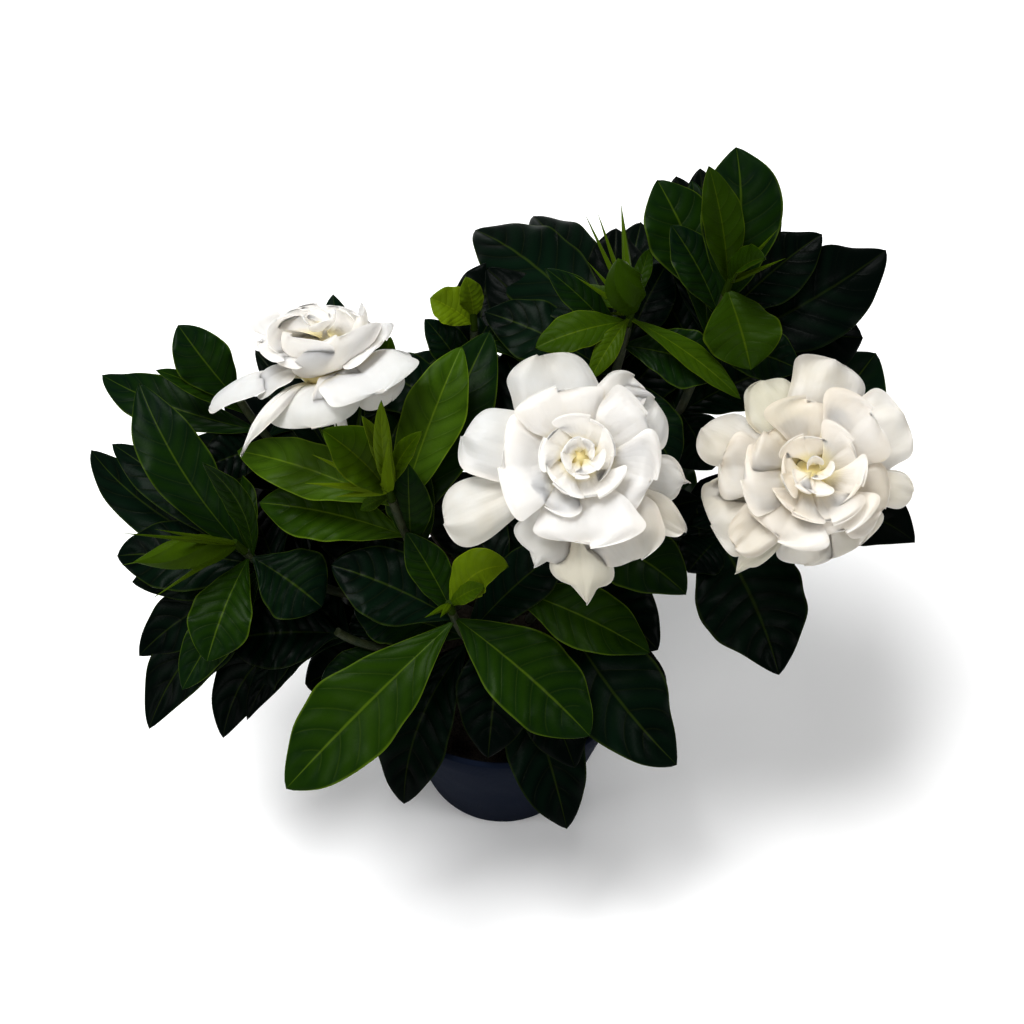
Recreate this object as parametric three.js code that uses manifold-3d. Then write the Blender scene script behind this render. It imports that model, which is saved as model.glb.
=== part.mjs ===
// A potted gardenia: a small, double-flowered gardenia in a dark plastic nursery pot.
// Millimetres, +Z up. The origin is the middle of the pot's flat base.
import * as THREE from 'three';
import { mergeVertices } from 'three/addons/utils/BufferGeometryUtils.js';
import Module from 'manifold-3d';

const wasm = await Module();
wasm.setup();

// Driving dimensions
const GAP = 0.3;
const POT = {
  height: 92, baseRadius: 32.5, chamfer: 1.2, collarBottom: 77, bodyTop: 48.4, collarRadius: 50.2,
  rimRadius: 53, wall: 1.8, floor: 2.4, sides: 28, drains: 6, drainRing: 23, drainRadius: 3.2, drainSides: 8,
};
const SOIL = { top: 80, edge: 78.4, lump: 1.3, sides: 20, rings: [40, 27, 14] };
const TRUNK = { foot: 44, fork: new THREE.Vector3(0, 5, 90), head: 95, radius: 4.2, sides: 8 };
const BRANCH = { radius: 2.3, sides: 4, steps: 3 };
const STEM = { radius: 1.7, sides: 4, steps: 6 };
const TIP = { radius: 1.4, length: 7, sides: 4, steps: 1 };
const BUD_SIDES = 6;
const LOBE_SIDES = 3;
const LEAF_THICK = 0.8;
const SLIM_LEAF = 25;
const PETAL_THICK = 0.9;
const PETAL_ROUND = 0.12;
const CALYX = { length: 9, radius: 4.2, sides: 6, lobes: 6, lobeLength: 19, lobeFlare: 6, lobeRadius: 1.1 };
const COROLLA = { depth: 18, tube: 20, radius: 2.5, core: 12, sides: 7 };

// Where the photograph was taken from. A place in it is a pixel and a height above the pot's base.
const VIEW = { eye: new THREE.Vector3(3.7, -347, 689), elevation: 56, focal: 1865, middle: 512 };
const DEGREE = Math.PI / 180;
const UP = new THREE.Vector3(0, 0, 1);
const AHEAD = new THREE.Vector3(0, Math.cos(VIEW.elevation * DEGREE), -Math.sin(VIEW.elevation * DEGREE));
const ABOVE = new THREE.Vector3(0, Math.sin(VIEW.elevation * DEGREE), Math.cos(VIEW.elevation * DEGREE));

// What a leaf's tip is raised or lowered by, in order, until it is clear of every other part of the plant.
const LIFTS = [0, 5, -5, 10, -10, 16, -16, 22, -22, 30, -30, 38, -38, 46, -46];
const SMALL_CROSSING = 3;
const MERGE = 1e-4;

function vec([x, y, z]) {
  return new THREE.Vector3(x, y, z);
}

function ray([column, row]) {
  const right = new THREE.Vector3((column - VIEW.middle) / VIEW.focal, 0, 0);
  return right.add(AHEAD).addScaledVector(ABOVE, (VIEW.middle - row) / VIEW.focal);
}

// The point seen at a pixel, at a height z above the pot's base.
function seen(pixel, z) {
  const line = ray(pixel);
  return VIEW.eye.clone().addScaledVector(line, (z - VIEW.eye.z) / line.z);
}

// The point seen at a pixel, on the plane a rise above a bloom's heart and square to its axis.
function seenOnBloom(pixel, bloom, rise) {
  const line = ray(pixel);
  const far = bloom.heart.clone().sub(VIEW.eye).dot(bloom.axis) + rise;
  return VIEW.eye.clone().addScaledVector(line, far / line.dot(bloom.axis));
}

// Uneven growth: a seeded draw between -1 and 1.
let seed = 20617;
function uneven() {
  seed = (seed * 16807) % 2147483647;
  return 2 * (seed / 2147483647) - 1;
}

// A closed solid of a geometry, whose shared corners are merged and whose empty triangles are dropped.
function solid(geometry) {
  const bare = new THREE.BufferGeometry();
  bare.setAttribute('position', geometry.getAttribute('position'));
  if (geometry.index) bare.setIndex(geometry.index);
  const merged = mergeVertices(bare, MERGE);
  const corners = merged.index.array;
  const faces = [];
  for (let k = 0; k < corners.length; k += 3) {
    const [a, b, c] = [corners[k], corners[k + 1], corners[k + 2]];
    if (a !== b && b !== c && c !== a) faces.push(a, b, c);
  }
  return new wasm.Manifold(new wasm.Mesh({
    numProp: 3,
    vertProperties: new Float32Array(merged.getAttribute('position').array),
    triVerts: new Uint32Array(faces),
  }));
}

// A closed slab round a grid of surface points, split into triangles alike on both faces.
function slab(grid, thickness) {
  const rows = grid.length;
  const columns = grid[0].length;
  const under = rows * columns;
  const at = (i, j) => i * columns + j;
  const places = [0.5, -0.5].flatMap((side) => grid.flat().flatMap(({ point, normal }) => (
    point.clone().addScaledVector(normal, side * thickness).toArray()
  )));
  const faces = [];
  for (let i = 0; i < rows - 1; i += 1) {
    for (let j = 0; j < columns - 1; j += 1) {
      const [a, b, c, d] = [at(i, j), at(i + 1, j), at(i + 1, j + 1), at(i, j + 1)];
      faces.push(a, b, c, a, c, d);
      faces.push(c + under, b + under, a + under, d + under, c + under, a + under);
    }
  }
  const rim = [];
  for (let i = 0; i < rows - 1; i += 1) rim.push(at(i, 0));
  for (let j = 0; j < columns - 1; j += 1) rim.push(at(rows - 1, j));
  for (let i = rows - 1; i > 0; i -= 1) rim.push(at(i, columns - 1));
  for (let j = columns - 1; j > 0; j -= 1) rim.push(at(0, j));
  rim.forEach((a, k) => {
    const b = rim[(k + 1) % rim.length];
    faces.push(b, a, a + under, b, a + under, b + under);
  });
  const geometry = new THREE.BufferGeometry();
  geometry.setAttribute('position', new THREE.Float32BufferAttribute(places, 3));
  geometry.setIndex(faces);
  return solid(geometry);
}

function rod(path, { radius, sides, steps }) {
  const section = new THREE.Shape();
  section.setFromPoints(Array.from({ length: sides }, (_, k) => {
    const turn = (k / sides) * 2 * Math.PI;
    return new THREE.Vector2(radius * Math.cos(turn), radius * Math.sin(turn));
  }));
  return solid(new THREE.ExtrudeGeometry(section, { steps, bevelEnabled: false, extrudePath: path }));
}

// A closed profile of [radius, height] pairs, turned round a direction from a point.
function turned(profile, sides, from = new THREE.Vector3(), along = UP) {
  const geometry = new THREE.LatheGeometry(profile.map(([r, z]) => new THREE.Vector2(r, z)), sides);
  geometry.applyQuaternion(new THREE.Quaternion().setFromUnitVectors(new THREE.Vector3(0, 1, 0), along));
  return solid(geometry.translate(from.x, from.y, from.z));
}

// Pot, soil and wood

function makePot() {
  const { height, baseRadius, chamfer, collarBottom, bodyTop, collarRadius, rimRadius, wall, floor } = POT;
  const shell = turned([
    [0, 0], [baseRadius - chamfer, 0], [baseRadius, chamfer], [bodyTop, collarBottom],
    [collarRadius, collarBottom], [rimRadius, height - chamfer], [rimRadius - chamfer, height],
    [rimRadius - wall, height], [collarRadius - wall, collarBottom + wall],
    [bodyTop - wall, collarBottom - wall], [baseRadius - wall, floor], [0, floor],
  ], POT.sides);
  let pot = shell;
  for (let k = 0; k < POT.drains; k += 1) {
    const turn = ((k + 0.5) / POT.drains) * 2 * Math.PI;
    const drain = new THREE.CylinderGeometry(POT.drainRadius, POT.drainRadius, 4 * floor, POT.drainSides);
    drain.rotateX(Math.PI / 2);
    drain.translate(POT.drainRing * Math.cos(turn), POT.drainRing * Math.sin(turn), 0);
    pot = pot.subtract(solid(drain));
  }
  return pot;
}

function lumps(x, y) {
  return SOIL.lump * (Math.sin(0.31 * x + 1.7) * Math.cos(0.27 * y) + 0.5 * Math.sin(0.53 * y + 0.4 * x));
}

function makeSoil() {
  const inset = POT.wall + 2 * GAP;
  const profile = [
    [0, POT.floor + GAP], [POT.baseRadius - inset, POT.floor + GAP],
    [POT.bodyTop - inset, POT.collarBottom - POT.wall], [POT.collarRadius - inset, SOIL.edge],
    ...SOIL.rings.map((radius) => [radius, SOIL.top]), [0, SOIL.top],
  ];
  const geometry = new THREE.LatheGeometry(profile.map(([r, z]) => new THREE.Vector2(r, z)), SOIL.sides);
  geometry.rotateX(Math.PI / 2);
  const place = geometry.getAttribute('position');
  for (let k = 0; k < place.count; k += 1) {
    if (place.getZ(k) > SOIL.edge + GAP) place.setZ(k, SOIL.top + lumps(place.getX(k), place.getY(k)));
  }
  const loose = TRUNK.radius + 2 * GAP;
  const hole = new THREE.CylinderGeometry(loose, loose, SOIL.top, TRUNK.sides);
  hole.rotateX(Math.PI / 2);
  hole.translate(TRUNK.fork.x, TRUNK.fork.y, TRUNK.foot - GAP + SOIL.top / 2);
  return solid(geometry).subtract(solid(hole));
}

// The way that a shoot sets off from the wood: outwards from the fork, and up.
function setOff(shoot) {
  const way = vec(shoot.start).sub(TRUNK.fork);
  return way.addScaledVector(UP, 0.35 * way.length()).normalize();
}

function branchPath(shoot) {
  const way = setOff(shoot);
  const end = vec(shoot.start).addScaledVector(way, -GAP);
  const reach = 0.35 * end.distanceTo(TRUNK.fork);
  const rising = TRUNK.fork.clone().addScaledVector(UP, reach);
  return new THREE.CubicBezierCurve3(TRUNK.fork, rising, end.clone().addScaledVector(way, -reach), end);
}

function makeWood(shoots) {
  const { radius, sides, foot, head, fork } = TRUNK;
  const trunk = turned([[0, foot], [radius * 0.9, foot], [radius, foot + radius], [radius, head - radius],
    [radius * 0.6, head], [0, head]], sides, new THREE.Vector3(fork.x, fork.y, 0));
  return wasm.Manifold.union([trunk, ...shoots.map((shoot) => rod(branchPath(shoot), BRANCH))]);
}

// Blooms and their calyxes

function bloomOf({ heartAt, z, axis }) {
  const heart = seen(heartAt, z);
  return { heart, axis: vec(axis).normalize() };
}

// The corolla tube opens into a small core, which holds the root of every petal and rises to a closed heart.
function makeCorolla(bloom) {
  const { depth, tube, radius, core, sides } = COROLLA;
  const profile = [
    [0, -depth - tube], [radius, -depth - tube], [radius, -depth - 3], [core * 0.7, -depth * 0.62],
    [core, -depth * 0.3], [core * 0.5, -depth * 0.2], [core * 0.25, 0], [0, depth * 0.28],
  ];
  return turned(profile, sides, bloom.heart, bloom.axis);
}

function calyxBase(bloom) {
  const below = COROLLA.depth + COROLLA.tube + CALYX.length + GAP;
  return bloom.heart.clone().addScaledVector(bloom.axis, -below);
}

function makeCalyx(bloom) {
  const { length, radius, sides, lobes, lobeLength, lobeFlare, lobeRadius } = CALYX;
  const base = calyxBase(bloom);
  const cup = turned([[0, 0], [STEM.radius, 0], [radius * 0.85, length * 0.3], [radius, length * 0.8],
    [radius * 0.95, length], [0, length]], sides, base, bloom.axis);
  const side = new THREE.Vector3(1, 0, 0).cross(bloom.axis).normalize();
  const parts = [cup];
  for (let k = 0; k < lobes; k += 1) {
    const out = side.clone().applyAxisAngle(bloom.axis, (k / lobes) * 2 * Math.PI);
    const from = base.clone().addScaledVector(bloom.axis, length * 0.7).addScaledVector(out, radius * 0.8);
    const tip = from.clone().addScaledVector(bloom.axis, lobeLength).addScaledVector(out, lobeFlare);
    parts.push(lobe(from, tip, lobeRadius));
  }
  return wasm.Manifold.union(parts);
}

// A slender pointed lobe, three-sided, from a point to a tip.
function lobe(from, tip, radius) {
  const length = from.distanceTo(tip);
  const way = tip.clone().sub(from).normalize();
  return turned([[0, 0], [radius, length * 0.2], [0, length]], LOBE_SIDES, from, way);
}

// Half the width along a petal, as a share of its widest: a narrow claw, a broad blade, a round end.
function petalOutline(u) {
  const widen = 0.2 + 0.8 * Math.sin((Math.PI / 2) * Math.min(u / 0.7, 1));
  return (u > 0 ? widen : 0) * (1 - 0.42 * Math.max((u - 0.7) / 0.3, 0) ** 2);
}

// Each layer of petals lies on a bowl of its own: deep at the corolla, level further out, then drooping.
const LONG_PETAL = [0, 0.36, 0.7, 1];
const SHORT_PETAL = [0, 0.55, 1];
const DROOP_AT = 40;
const STEP = 0.01;
const LAYERS = {
  outer: { rise: -8.5, from: 8, base: -22, height: 17, scale: 6, droop: 4, lean: 0.1, rows: LONG_PETAL },
  second: { rise: -3.5, from: 8, base: -20, height: 18.5, scale: 6, droop: 2, lean: 0.1, rows: SHORT_PETAL },
  mid: { rise: 2.6, from: 5, base: -14, height: 17, scale: 6, droop: 0, lean: 0.1, rows: SHORT_PETAL },
  inner: { rise: 6.8, from: 3, base: -8, height: 15.5, scale: 5, droop: 0, lean: 0.14, rows: SHORT_PETAL },
  heart: { rise: 9, from: 1.5, base: -2, height: 12, scale: 3.5, droop: 0, lean: 0.2, rows: SHORT_PETAL },
};

function bowl({ base, height, scale, droop }, radius) {
  return base + height * (1 - Math.exp(-radius / scale)) - droop * (radius / DROOP_AT) ** 3;
}

// A petal follows its layer's bowl to the place where its end is seen, and leans over the next petal.
function petalGrid(bloom, layer, petal) {
  const { axis, heart } = bloom;
  const rise = petal.rise ?? layer.rise;
  const out = seenOnBloom(petal.seenAt, bloom, rise).sub(heart);
  out.addScaledVector(axis, -out.dot(axis));
  const reach = out.length();
  out.normalize();
  const across = axis.clone().cross(out);
  const place = (u, v) => {
    const x = layer.from + (reach - layer.from) * u * (1 - PETAL_ROUND * v * v);
    const y = v * petalOutline(u) * petal.width / 2;
    const height = bowl(layer, Math.hypot(x, y)) + layer.lean * y + (rise - bowl(layer, reach)) * u ** 3;
    return heart.clone().addScaledVector(out, x).addScaledVector(across, y).addScaledVector(axis, height);
  };
  return layer.rows.map((u) => [-1, 0, 1].map((v) => {
    const [near, inward] = [THREE.MathUtils.clamp(u, 0.1, 0.7), u > 0 ? 0.7 * v : 0];
    const along = place(near + STEP, inward).sub(place(near, inward));
    const normal = along.cross(place(near, inward + STEP).sub(place(near, inward))).normalize();
    return { point: place(u, v), normal };
  }));
}

function makeBloom(bloom, layers) {
  const parts = [makeCorolla(bloom)];
  Object.entries(layers).forEach(([name, petals]) => {
    petals.forEach((petal) => parts.push(slab(petalGrid(bloom, LAYERS[name], petal), PETAL_THICK)));
  });
  return wasm.Manifold.union(parts);
}

// Leaves

// Half the width along a leaf, as a share of its widest: a wedge at the stem, widest beyond the middle.
function leafOutline(u, full) {
  return u > 0 && u < 1 ? Math.sin(Math.PI * u ** full) : 0;
}

// The midrib arches up between its ends, and bends to one side.
function midrib(root, tip, { arch = 0.14, bend = 0 }) {
  const span = tip.clone().sub(root);
  const length = span.length();
  const flat = span.clone().divideScalar(length);
  const rise = UP.clone().addScaledVector(flat, -UP.dot(flat)).normalize();
  const side = rise.clone().cross(flat);
  const middle = root.clone().addScaledVector(span, 0.5).addScaledVector(rise, arch * length);
  return new THREE.QuadraticBezierCurve3(root, middle.addScaledVector(side, bend * length), tip);
}

function leafGrid(leaf, root, tip) {
  const { width, full = 1.25, fold = 0.18, roll = 0, ripple = 0.04, facing = [0, -0.3, 1] } = leaf;
  const rows = width < SLIM_LEAF ? 3 : 4;
  const path = midrib(root, tip, leaf);
  return Array.from({ length: rows + 1 }, (_, i) => {
    const u = i / rows;
    const along = path.getTangent(u);
    const across = vec(facing).cross(along).normalize().applyAxisAngle(along, roll * DEGREE);
    const normal = along.clone().cross(across);
    const half = leafOutline(u, full) * width / 2;
    const wave = 2 * ripple * Math.sin(9 * u + width) * half;
    return [-1, 0, 1].map((v) => ({
      point: path.getPoint(u).addScaledVector(across, v * half)
        .addScaledVector(normal, Math.abs(v) * fold * half + v * wave),
      normal,
    }));
  });
}

// A leaf's tip is where it is seen, or at a turn, pitch and length from its root.
function leafTip(leaf, root, lift) {
  if (leaf.seenAt) return seen(leaf.seenAt, leaf.z + lift);
  const slope = (leaf.pitch + lift) * DEGREE;
  const flat = leaf.length * Math.cos(slope);
  const turn = leaf.turn * DEGREE;
  const rise = leaf.length * Math.sin(slope);
  return new THREE.Vector3(flat * Math.cos(turn), flat * Math.sin(turn), rise).add(root);
}

// Each solid that is in place, with its node and its box.
const taken = [];

function boxOf(body, margin = 0) {
  const { min, max } = body.boundingBox();
  return new THREE.Box3(vec(min), vec(max)).expandByScalar(margin);
}

function take(node, body, kind = 'wood') {
  taken.push({ node, body, kind, box: boxOf(body) });
  return body;
}

function isClear(node, body) {
  const box = boxOf(body, GAP);
  return taken.every((other) => other.node === node || !other.box.intersectsBox(box)
    || body.minGap(other.body, 2 * GAP) >= GAP);
}

function crossing(node, body) {
  const box = boxOf(body);
  const mates = taken.filter((other) => (
    other.node === node && other.kind === 'leaf' && other.box.intersectsBox(box)
  ));
  return mates.reduce((sum, other) => sum + body.intersect(other.body).volume(), 0);
}

// The first lift that clears the other nodes, and crosses the leaves of its own shoot least.
function settle(node, make, label) {
  let best = null;
  for (const lift of LIFTS) {
    const body = make(lift);
    if (isClear(node, body)) {
      const cost = crossing(node, body);
      if (!best || cost < best.cost - SMALL_CROSSING) best = { body, cost };
      if (best.cost < SMALL_CROSSING) break;
    }
  }
  if (!best) {
    console.error('no clear place', node, label);
    return [];
  }
  return [take(node, best.body, 'leaf')];
}

function placeLeaf(node, stem, leaf) {
  const root = stem.getPoint(leaf.on ?? 0.9);
  const make = (lift) => slab(leafGrid(leaf, root, leafTip(leaf, root, lift)), LEAF_THICK);
  return settle(node, make, leaf.seenAt ?? leaf.turn);
}

function placeBud(node, stem, bud) {
  const root = stem.getPoint(0.6);
  return settle(node, (lift) => {
    const tip = seen(bud.seenAt, bud.z + lift);
    const length = root.distanceTo(tip);
    const half = bud.width / 2;
    const profile = [
      [0, 0], [half * 0.4, 0], [half, length * 0.45], [half * 0.7, length * 0.75], [0, length],
    ];
    return turned(profile, BUD_SIDES, root, tip.clone().sub(root).normalize());
  }, bud.seenAt);
}

function placeLobe(node, stem, { seenAt, z, radius = 1.1, on = 0.8 }) {
  return settle(node, (lift) => lobe(stem.getPoint(on), seen(seenAt, z + lift), radius), seenAt);
}

// Shoots. A leaf that is seen has the pixel of its tip and its height; the others have a turn and a pitch.

function whorl(on, turns, pitch, length, width) {
  return turns.map((turn) => ({
    on: on + 0.03 * uneven(),
    turn: turn + 10 * uneven(),
    pitch: pitch + 8 * uneven(),
    length: length * (1 + 0.08 * uneven()),
    width: width * (1 + 0.08 * uneven()),
  }));
}

const SHOOTS = [
  {
    name: 'front',
    start: [-7, -12, 106],
    top: seen([452, 612], 145),
    leaves: [
      { seenAt: [286, 789], z: 105, width: 34, on: 0.85, arch: 0.12, bend: 0.08, full: 1.4 },
      { seenAt: [590, 736], z: 115, width: 31, on: 0.9, arch: 0.12 },
      { seenAt: [404, 804], z: 78, width: 30, on: 0.4, arch: 0.2, bend: -0.1 },
      { seenAt: [331, 565], z: 152, width: 27, on: 0.85 },
      { seenAt: [406, 532], z: 182, width: 14, on: 0.9, facing: [0, -0.6, 0.8] },
      ...whorl(0.5, [20, 150], -5, 48, 22),
    ],
    young: [
      { seenAt: [508, 566], z: 172, width: 16, on: 0.4 }, { seenAt: [485, 586], z: 165, width: 7, on: 0.7 },
    ],
    lobes: [{ seenAt: [424, 618], z: 158 }, { seenAt: [440, 618], z: 160 }],
  },
  {
    name: 'mid_left',
    start: [-16, 0, 114],
    top: seen([392, 500], 180),
    leaves: [
      { seenAt: [237, 451], z: 172, width: 20, on: 0.95 },
      { seenAt: [259, 503], z: 160, width: 22, on: 0.7 },
      { seenAt: [408, 464], z: 205, width: 15, on: 0.62 },
      { seenAt: [418, 450], z: 190, width: 12, on: 0.5 },
      { seenAt: [332, 566], z: 112, width: 27, on: 0.2 },
      { seenAt: [462, 346], z: 205, width: 21, on: 0.85 },
      { seenAt: [490, 331], z: 196, width: 27, on: 0.7 },
    ],
    young: [
      { seenAt: [322, 430], z: 212, width: 18, fold: 0.5, on: 0.4 },
      { seenAt: [362, 416], z: 222, width: 6, on: 0.8 },
      { seenAt: [381, 401], z: 226, width: 6, on: 0.9 },
      { seenAt: [422, 431], z: 214, width: 7, on: 0.7 },
      { seenAt: [360, 510], z: 176, width: 5, on: 0.3 },
    ],
    lobes: [
      { seenAt: [311, 454], z: 204 }, { seenAt: [304, 483], z: 198 }, { seenAt: [335, 497], z: 190 },
      { seenAt: [389, 436], z: 216 },
    ],
  },
  {
    name: 'under',
    start: [1, -9, 104],
    top: seen([505, 580], 142),
    leaves: [
      { seenAt: [650, 653], z: 148, width: 22, on: 0.9 },
      { seenAt: [567, 829], z: 58, width: 28, on: 0.35, arch: 0.2 },
      { seenAt: [488, 758], z: 88, width: 26, on: 0.6, arch: 0.2 },
      { seenAt: [575, 768], z: 90, width: 24, on: 0.5, arch: 0.2 },
      { seenAt: [438, 474], z: 146, width: 28, on: 0.9 },
      { seenAt: [540, 500], z: 148, width: 24, on: 0.8 },
    ],
  },
  {
    name: 'left',
    start: [-46, 4, 109],
    top: seen([245, 552], 148),
    leaves: [
      { seenAt: [139, 383], z: 186, width: 22, on: 0.95, bend: 0.14 },
      { seenAt: [112, 444], z: 152, width: 18, on: 0.85 },
      { seenAt: [91, 450], z: 128, width: 25, on: 0.6, bend: 0.2 },
      { seenAt: [154, 462], z: 182, width: 14, on: 0.9 },
      { seenAt: [203, 464], z: 190, width: 9, on: 0.92, facing: [0.2, -0.9, 0.4] },
      { seenAt: [220, 475], z: 190, width: 17, on: 0.95, facing: [0.2, -0.9, 0.4], bend: -0.1, full: 1.5 },
      { seenAt: [117, 556], z: 132, width: 17, on: 0.8 },
      { seenAt: [132, 582], z: 118, width: 13, on: 0.6 },
      { seenAt: [182, 690], z: 118, width: 17, on: 0.8 },
      { seenAt: [139, 656], z: 104, width: 22, on: 0.6, bend: -0.16 },
      { seenAt: [149, 729], z: 90, width: 24, on: 0.4, bend: -0.26 },
      { seenAt: [207, 662], z: 134, width: 22, on: 0.95, arch: 0.2, full: 1.5 },
      { seenAt: [322, 607], z: 136, width: 27, on: 0.95, full: 1.5 },
    ],
    bud: { seenAt: [133, 562], z: 170, width: 11 },
    lobes: [
      { seenAt: [120, 533], z: 176 }, { seenAt: [154, 529], z: 180 }, { seenAt: [117, 566], z: 160 },
      { seenAt: [150, 600], z: 150 },
    ],
  },
  {
    name: 'upper_left',
    start: [-44, 26, 114],
    top: seen([240, 400], 172),
    leaves: [
      { seenAt: [178, 325], z: 192, width: 20, on: 0.95, bend: 0.1, full: 1.6 },
      { seenAt: [156, 370], z: 184, width: 8, on: 0.9 },
      { seenAt: [102, 375], z: 160, width: 20, on: 0.8, bend: 0.18 },
      { seenAt: [262, 540], z: 120, width: 30, on: 0.3, bend: -0.1 },
      { seenAt: [200, 470], z: 150, width: 18, on: 0.7 },
      { seenAt: [290, 462], z: 150, width: 18, on: 0.7 },
      ...whorl(0.75, [40], -5, 48, 20),
      ...whorl(0.4, [70, 165], -8, 54, 22),
    ],
  },
  {
    name: 'left_bloom',
    start: [-34, 20, 116],
    bloom: {
      heartAt: [326, 348], z: 206, axis: [-0.12, 0.42, 0.9],
      layers: {
        outer: [
          { seenAt: [206, 408], width: 22, rise: -12 }, { seenAt: [238, 449], width: 20, rise: -16 },
          { seenAt: [304, 428], width: 32, rise: -12 }, { seenAt: [404, 372], width: 30, rise: -8 },
          { seenAt: [388, 400], width: 20, rise: -13 }, { seenAt: [342, 314], width: 26, rise: -12 },
          { seenAt: [276, 330], width: 26, rise: -12 },
        ],
        second: [
          { seenAt: [260, 398], width: 26, rise: -9 }, { seenAt: [350, 402], width: 26, rise: -8 },
          { seenAt: [391, 344], width: 28, rise: -4 },
        ],
        mid: [
          { seenAt: [254, 334], width: 24 }, { seenAt: [283, 313], width: 24 },
          { seenAt: [318, 306], width: 26 }, { seenAt: [352, 317], width: 24 },
          { seenAt: [386, 338], width: 24 }, { seenAt: [276, 356], width: 24 },
          { seenAt: [312, 372], width: 28 }, { seenAt: [354, 364], width: 26 },
        ],
        inner: [
          { seenAt: [288, 334], width: 18 }, { seenAt: [303, 316], width: 16 },
          { seenAt: [337, 315], width: 18 }, { seenAt: [356, 334], width: 18 },
          { seenAt: [308, 352], width: 20 }, { seenAt: [340, 352], width: 18 },
        ],
        heart: [
          { seenAt: [308, 324], width: 9 }, { seenAt: [334, 318], width: 9 },
          { seenAt: [326, 334], width: 10 },
        ],
      },
    },
    leaves: [
      { seenAt: [335, 295], z: 178, width: 15, on: 0.8 },
      { seenAt: [255, 350], z: 172, width: 14, on: 0.7 },
      { seenAt: [340, 450], z: 150, width: 16, on: 0.5 },
      ...whorl(0.6, [80, 45], -5, 44, 20),
      ...whorl(0.3, [75], -8, 48, 22),
    ],
  },
  {
    name: 'centre',
    start: [10, -3, 110],
    bloom: {
      heartAt: [580, 460], z: 213, axis: [0.02, -0.42, 0.9],
      layers: {
        outer: [
          { seenAt: [447, 522], width: 26, rise: -8 }, { seenAt: [533, 567], width: 24, rise: -7 },
          { seenAt: [586, 605], width: 26, rise: -9 }, { seenAt: [687, 533], width: 20, rise: -9 },
          { seenAt: [692, 476], width: 26 }, { seenAt: [660, 399], width: 33, rise: -4 },
          { seenAt: [548, 350], width: 34, rise: -4 },
        ],
        second: [
          { seenAt: [458, 440], width: 34 }, { seenAt: [641, 559], width: 30, rise: -5 },
          { seenAt: [614, 373], width: 24, rise: -6 },
        ],
        mid: [
          { seenAt: [509, 465], width: 34 }, { seenAt: [590, 546], width: 38 },
          { seenAt: [655, 480], width: 30 }, { seenAt: [648, 415], width: 30 },
          { seenAt: [560, 386], width: 36 }, { seenAt: [545, 506], width: 22, rise: 3 },
        ],
        inner: [
          { seenAt: [548, 440], width: 18 }, { seenAt: [556, 480], width: 18 },
          { seenAt: [600, 494], width: 20 }, { seenAt: [616, 455], width: 18 },
          { seenAt: [590, 418], width: 18 },
        ],
        heart: [
          { seenAt: [566, 448], width: 8 }, { seenAt: [573, 474], width: 8 },
          { seenAt: [592, 468], width: 8 }, { seenAt: [590, 443], width: 8 },
        ],
      },
    },
    leaves: [
      { seenAt: [677, 765], z: 100, width: 36, on: 0.3, arch: 0.16, bend: -0.15, full: 1.4 },
      { seenAt: [686, 594], z: 160, width: 27, on: 0.6, bend: 0.1 },
      { seenAt: [658, 650], z: 118, width: 27, on: 0.35, bend: 0.08 },
      { seenAt: [503, 352], z: 172, width: 24, on: 0.7 },
      ...whorl(0.5, [100, 30], 5, 50, 22),
    ],
  },
  {
    name: 'top',
    start: [20, 30, 120],
    top: seen([628, 325], 205),
    leaves: [
      { seenAt: [475, 230], z: 200, width: 31, on: 0.85, bend: -0.06, full: 1.25 },
      { seenAt: [533, 216], z: 206, width: 24, on: 0.8, bend: -0.1 },
      { seenAt: [484, 312], z: 186, width: 23, on: 0.75 },
      { seenAt: [545, 268], z: 226, width: 11, on: 0.9 },
      { seenAt: [641, 222], z: 206, width: 24, on: 0.6 },
      { seenAt: [724, 374], z: 192, width: 21, on: 0.9 },
      { seenAt: [675, 470], z: 168, width: 21, on: 0.75 },
      ...whorl(0.45, [100, 50], -8, 50, 24),
    ],
    young: [
      { seenAt: [535, 348], z: 204, width: 14, on: 0.2 }, { seenAt: [590, 380], z: 198, width: 8, on: 0.5 },
      { seenAt: [741, 399], z: 190, width: 9, on: 0.4 }, { seenAt: [573, 289], z: 222, width: 8, on: 0.6 },
      { seenAt: [650, 248], z: 240, width: 6, on: 0.8 },
    ],
    bud: { seenAt: [618, 258], z: 236, width: 13 },
    lobes: [
      { seenAt: [584, 212], z: 250 }, { seenAt: [597, 211], z: 252 },
      { seenAt: [621, 203], z: 252, radius: 1.8 }, { seenAt: [587, 261], z: 236 },
      { seenAt: [573, 275], z: 230 }, { seenAt: [606, 314], z: 216 },
    ],
  },
  {
    name: 'top_right',
    start: [40, 34, 118],
    top: seen([725, 295], 210),
    leaves: [
      { seenAt: [657, 180], z: 230, width: 26, on: 0.9, full: 1.5 },
      { seenAt: [671, 225], z: 226, width: 16, on: 0.92 },
      { seenAt: [650, 275], z: 190, width: 24, on: 0.7 },
      { seenAt: [692, 180], z: 226, width: 12, on: 0.8 },
      { seenAt: [736, 147], z: 245, width: 25, on: 0.92, bend: -0.18, full: 1.5 },
      { seenAt: [822, 234], z: 206, width: 22, on: 0.85 },
      { seenAt: [886, 250], z: 196, width: 36, on: 0.75, bend: -0.22, full: 1.25 },
      { seenAt: [800, 370], z: 186, width: 20, on: 0.8 },
      { seenAt: [712, 470], z: 152, width: 26, on: 0.5 },
      ...whorl(0.5, [100, 40], -8, 50, 24),
    ],
    young: [
      { seenAt: [709, 166], z: 252, width: 14, on: 0.5, fold: 0.3 },
      { seenAt: [751, 370], z: 200, width: 26, on: 0.3 },
      { seenAt: [765, 258], z: 232, width: 12, on: 0.8, fold: 0.5 },
    ],
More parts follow.
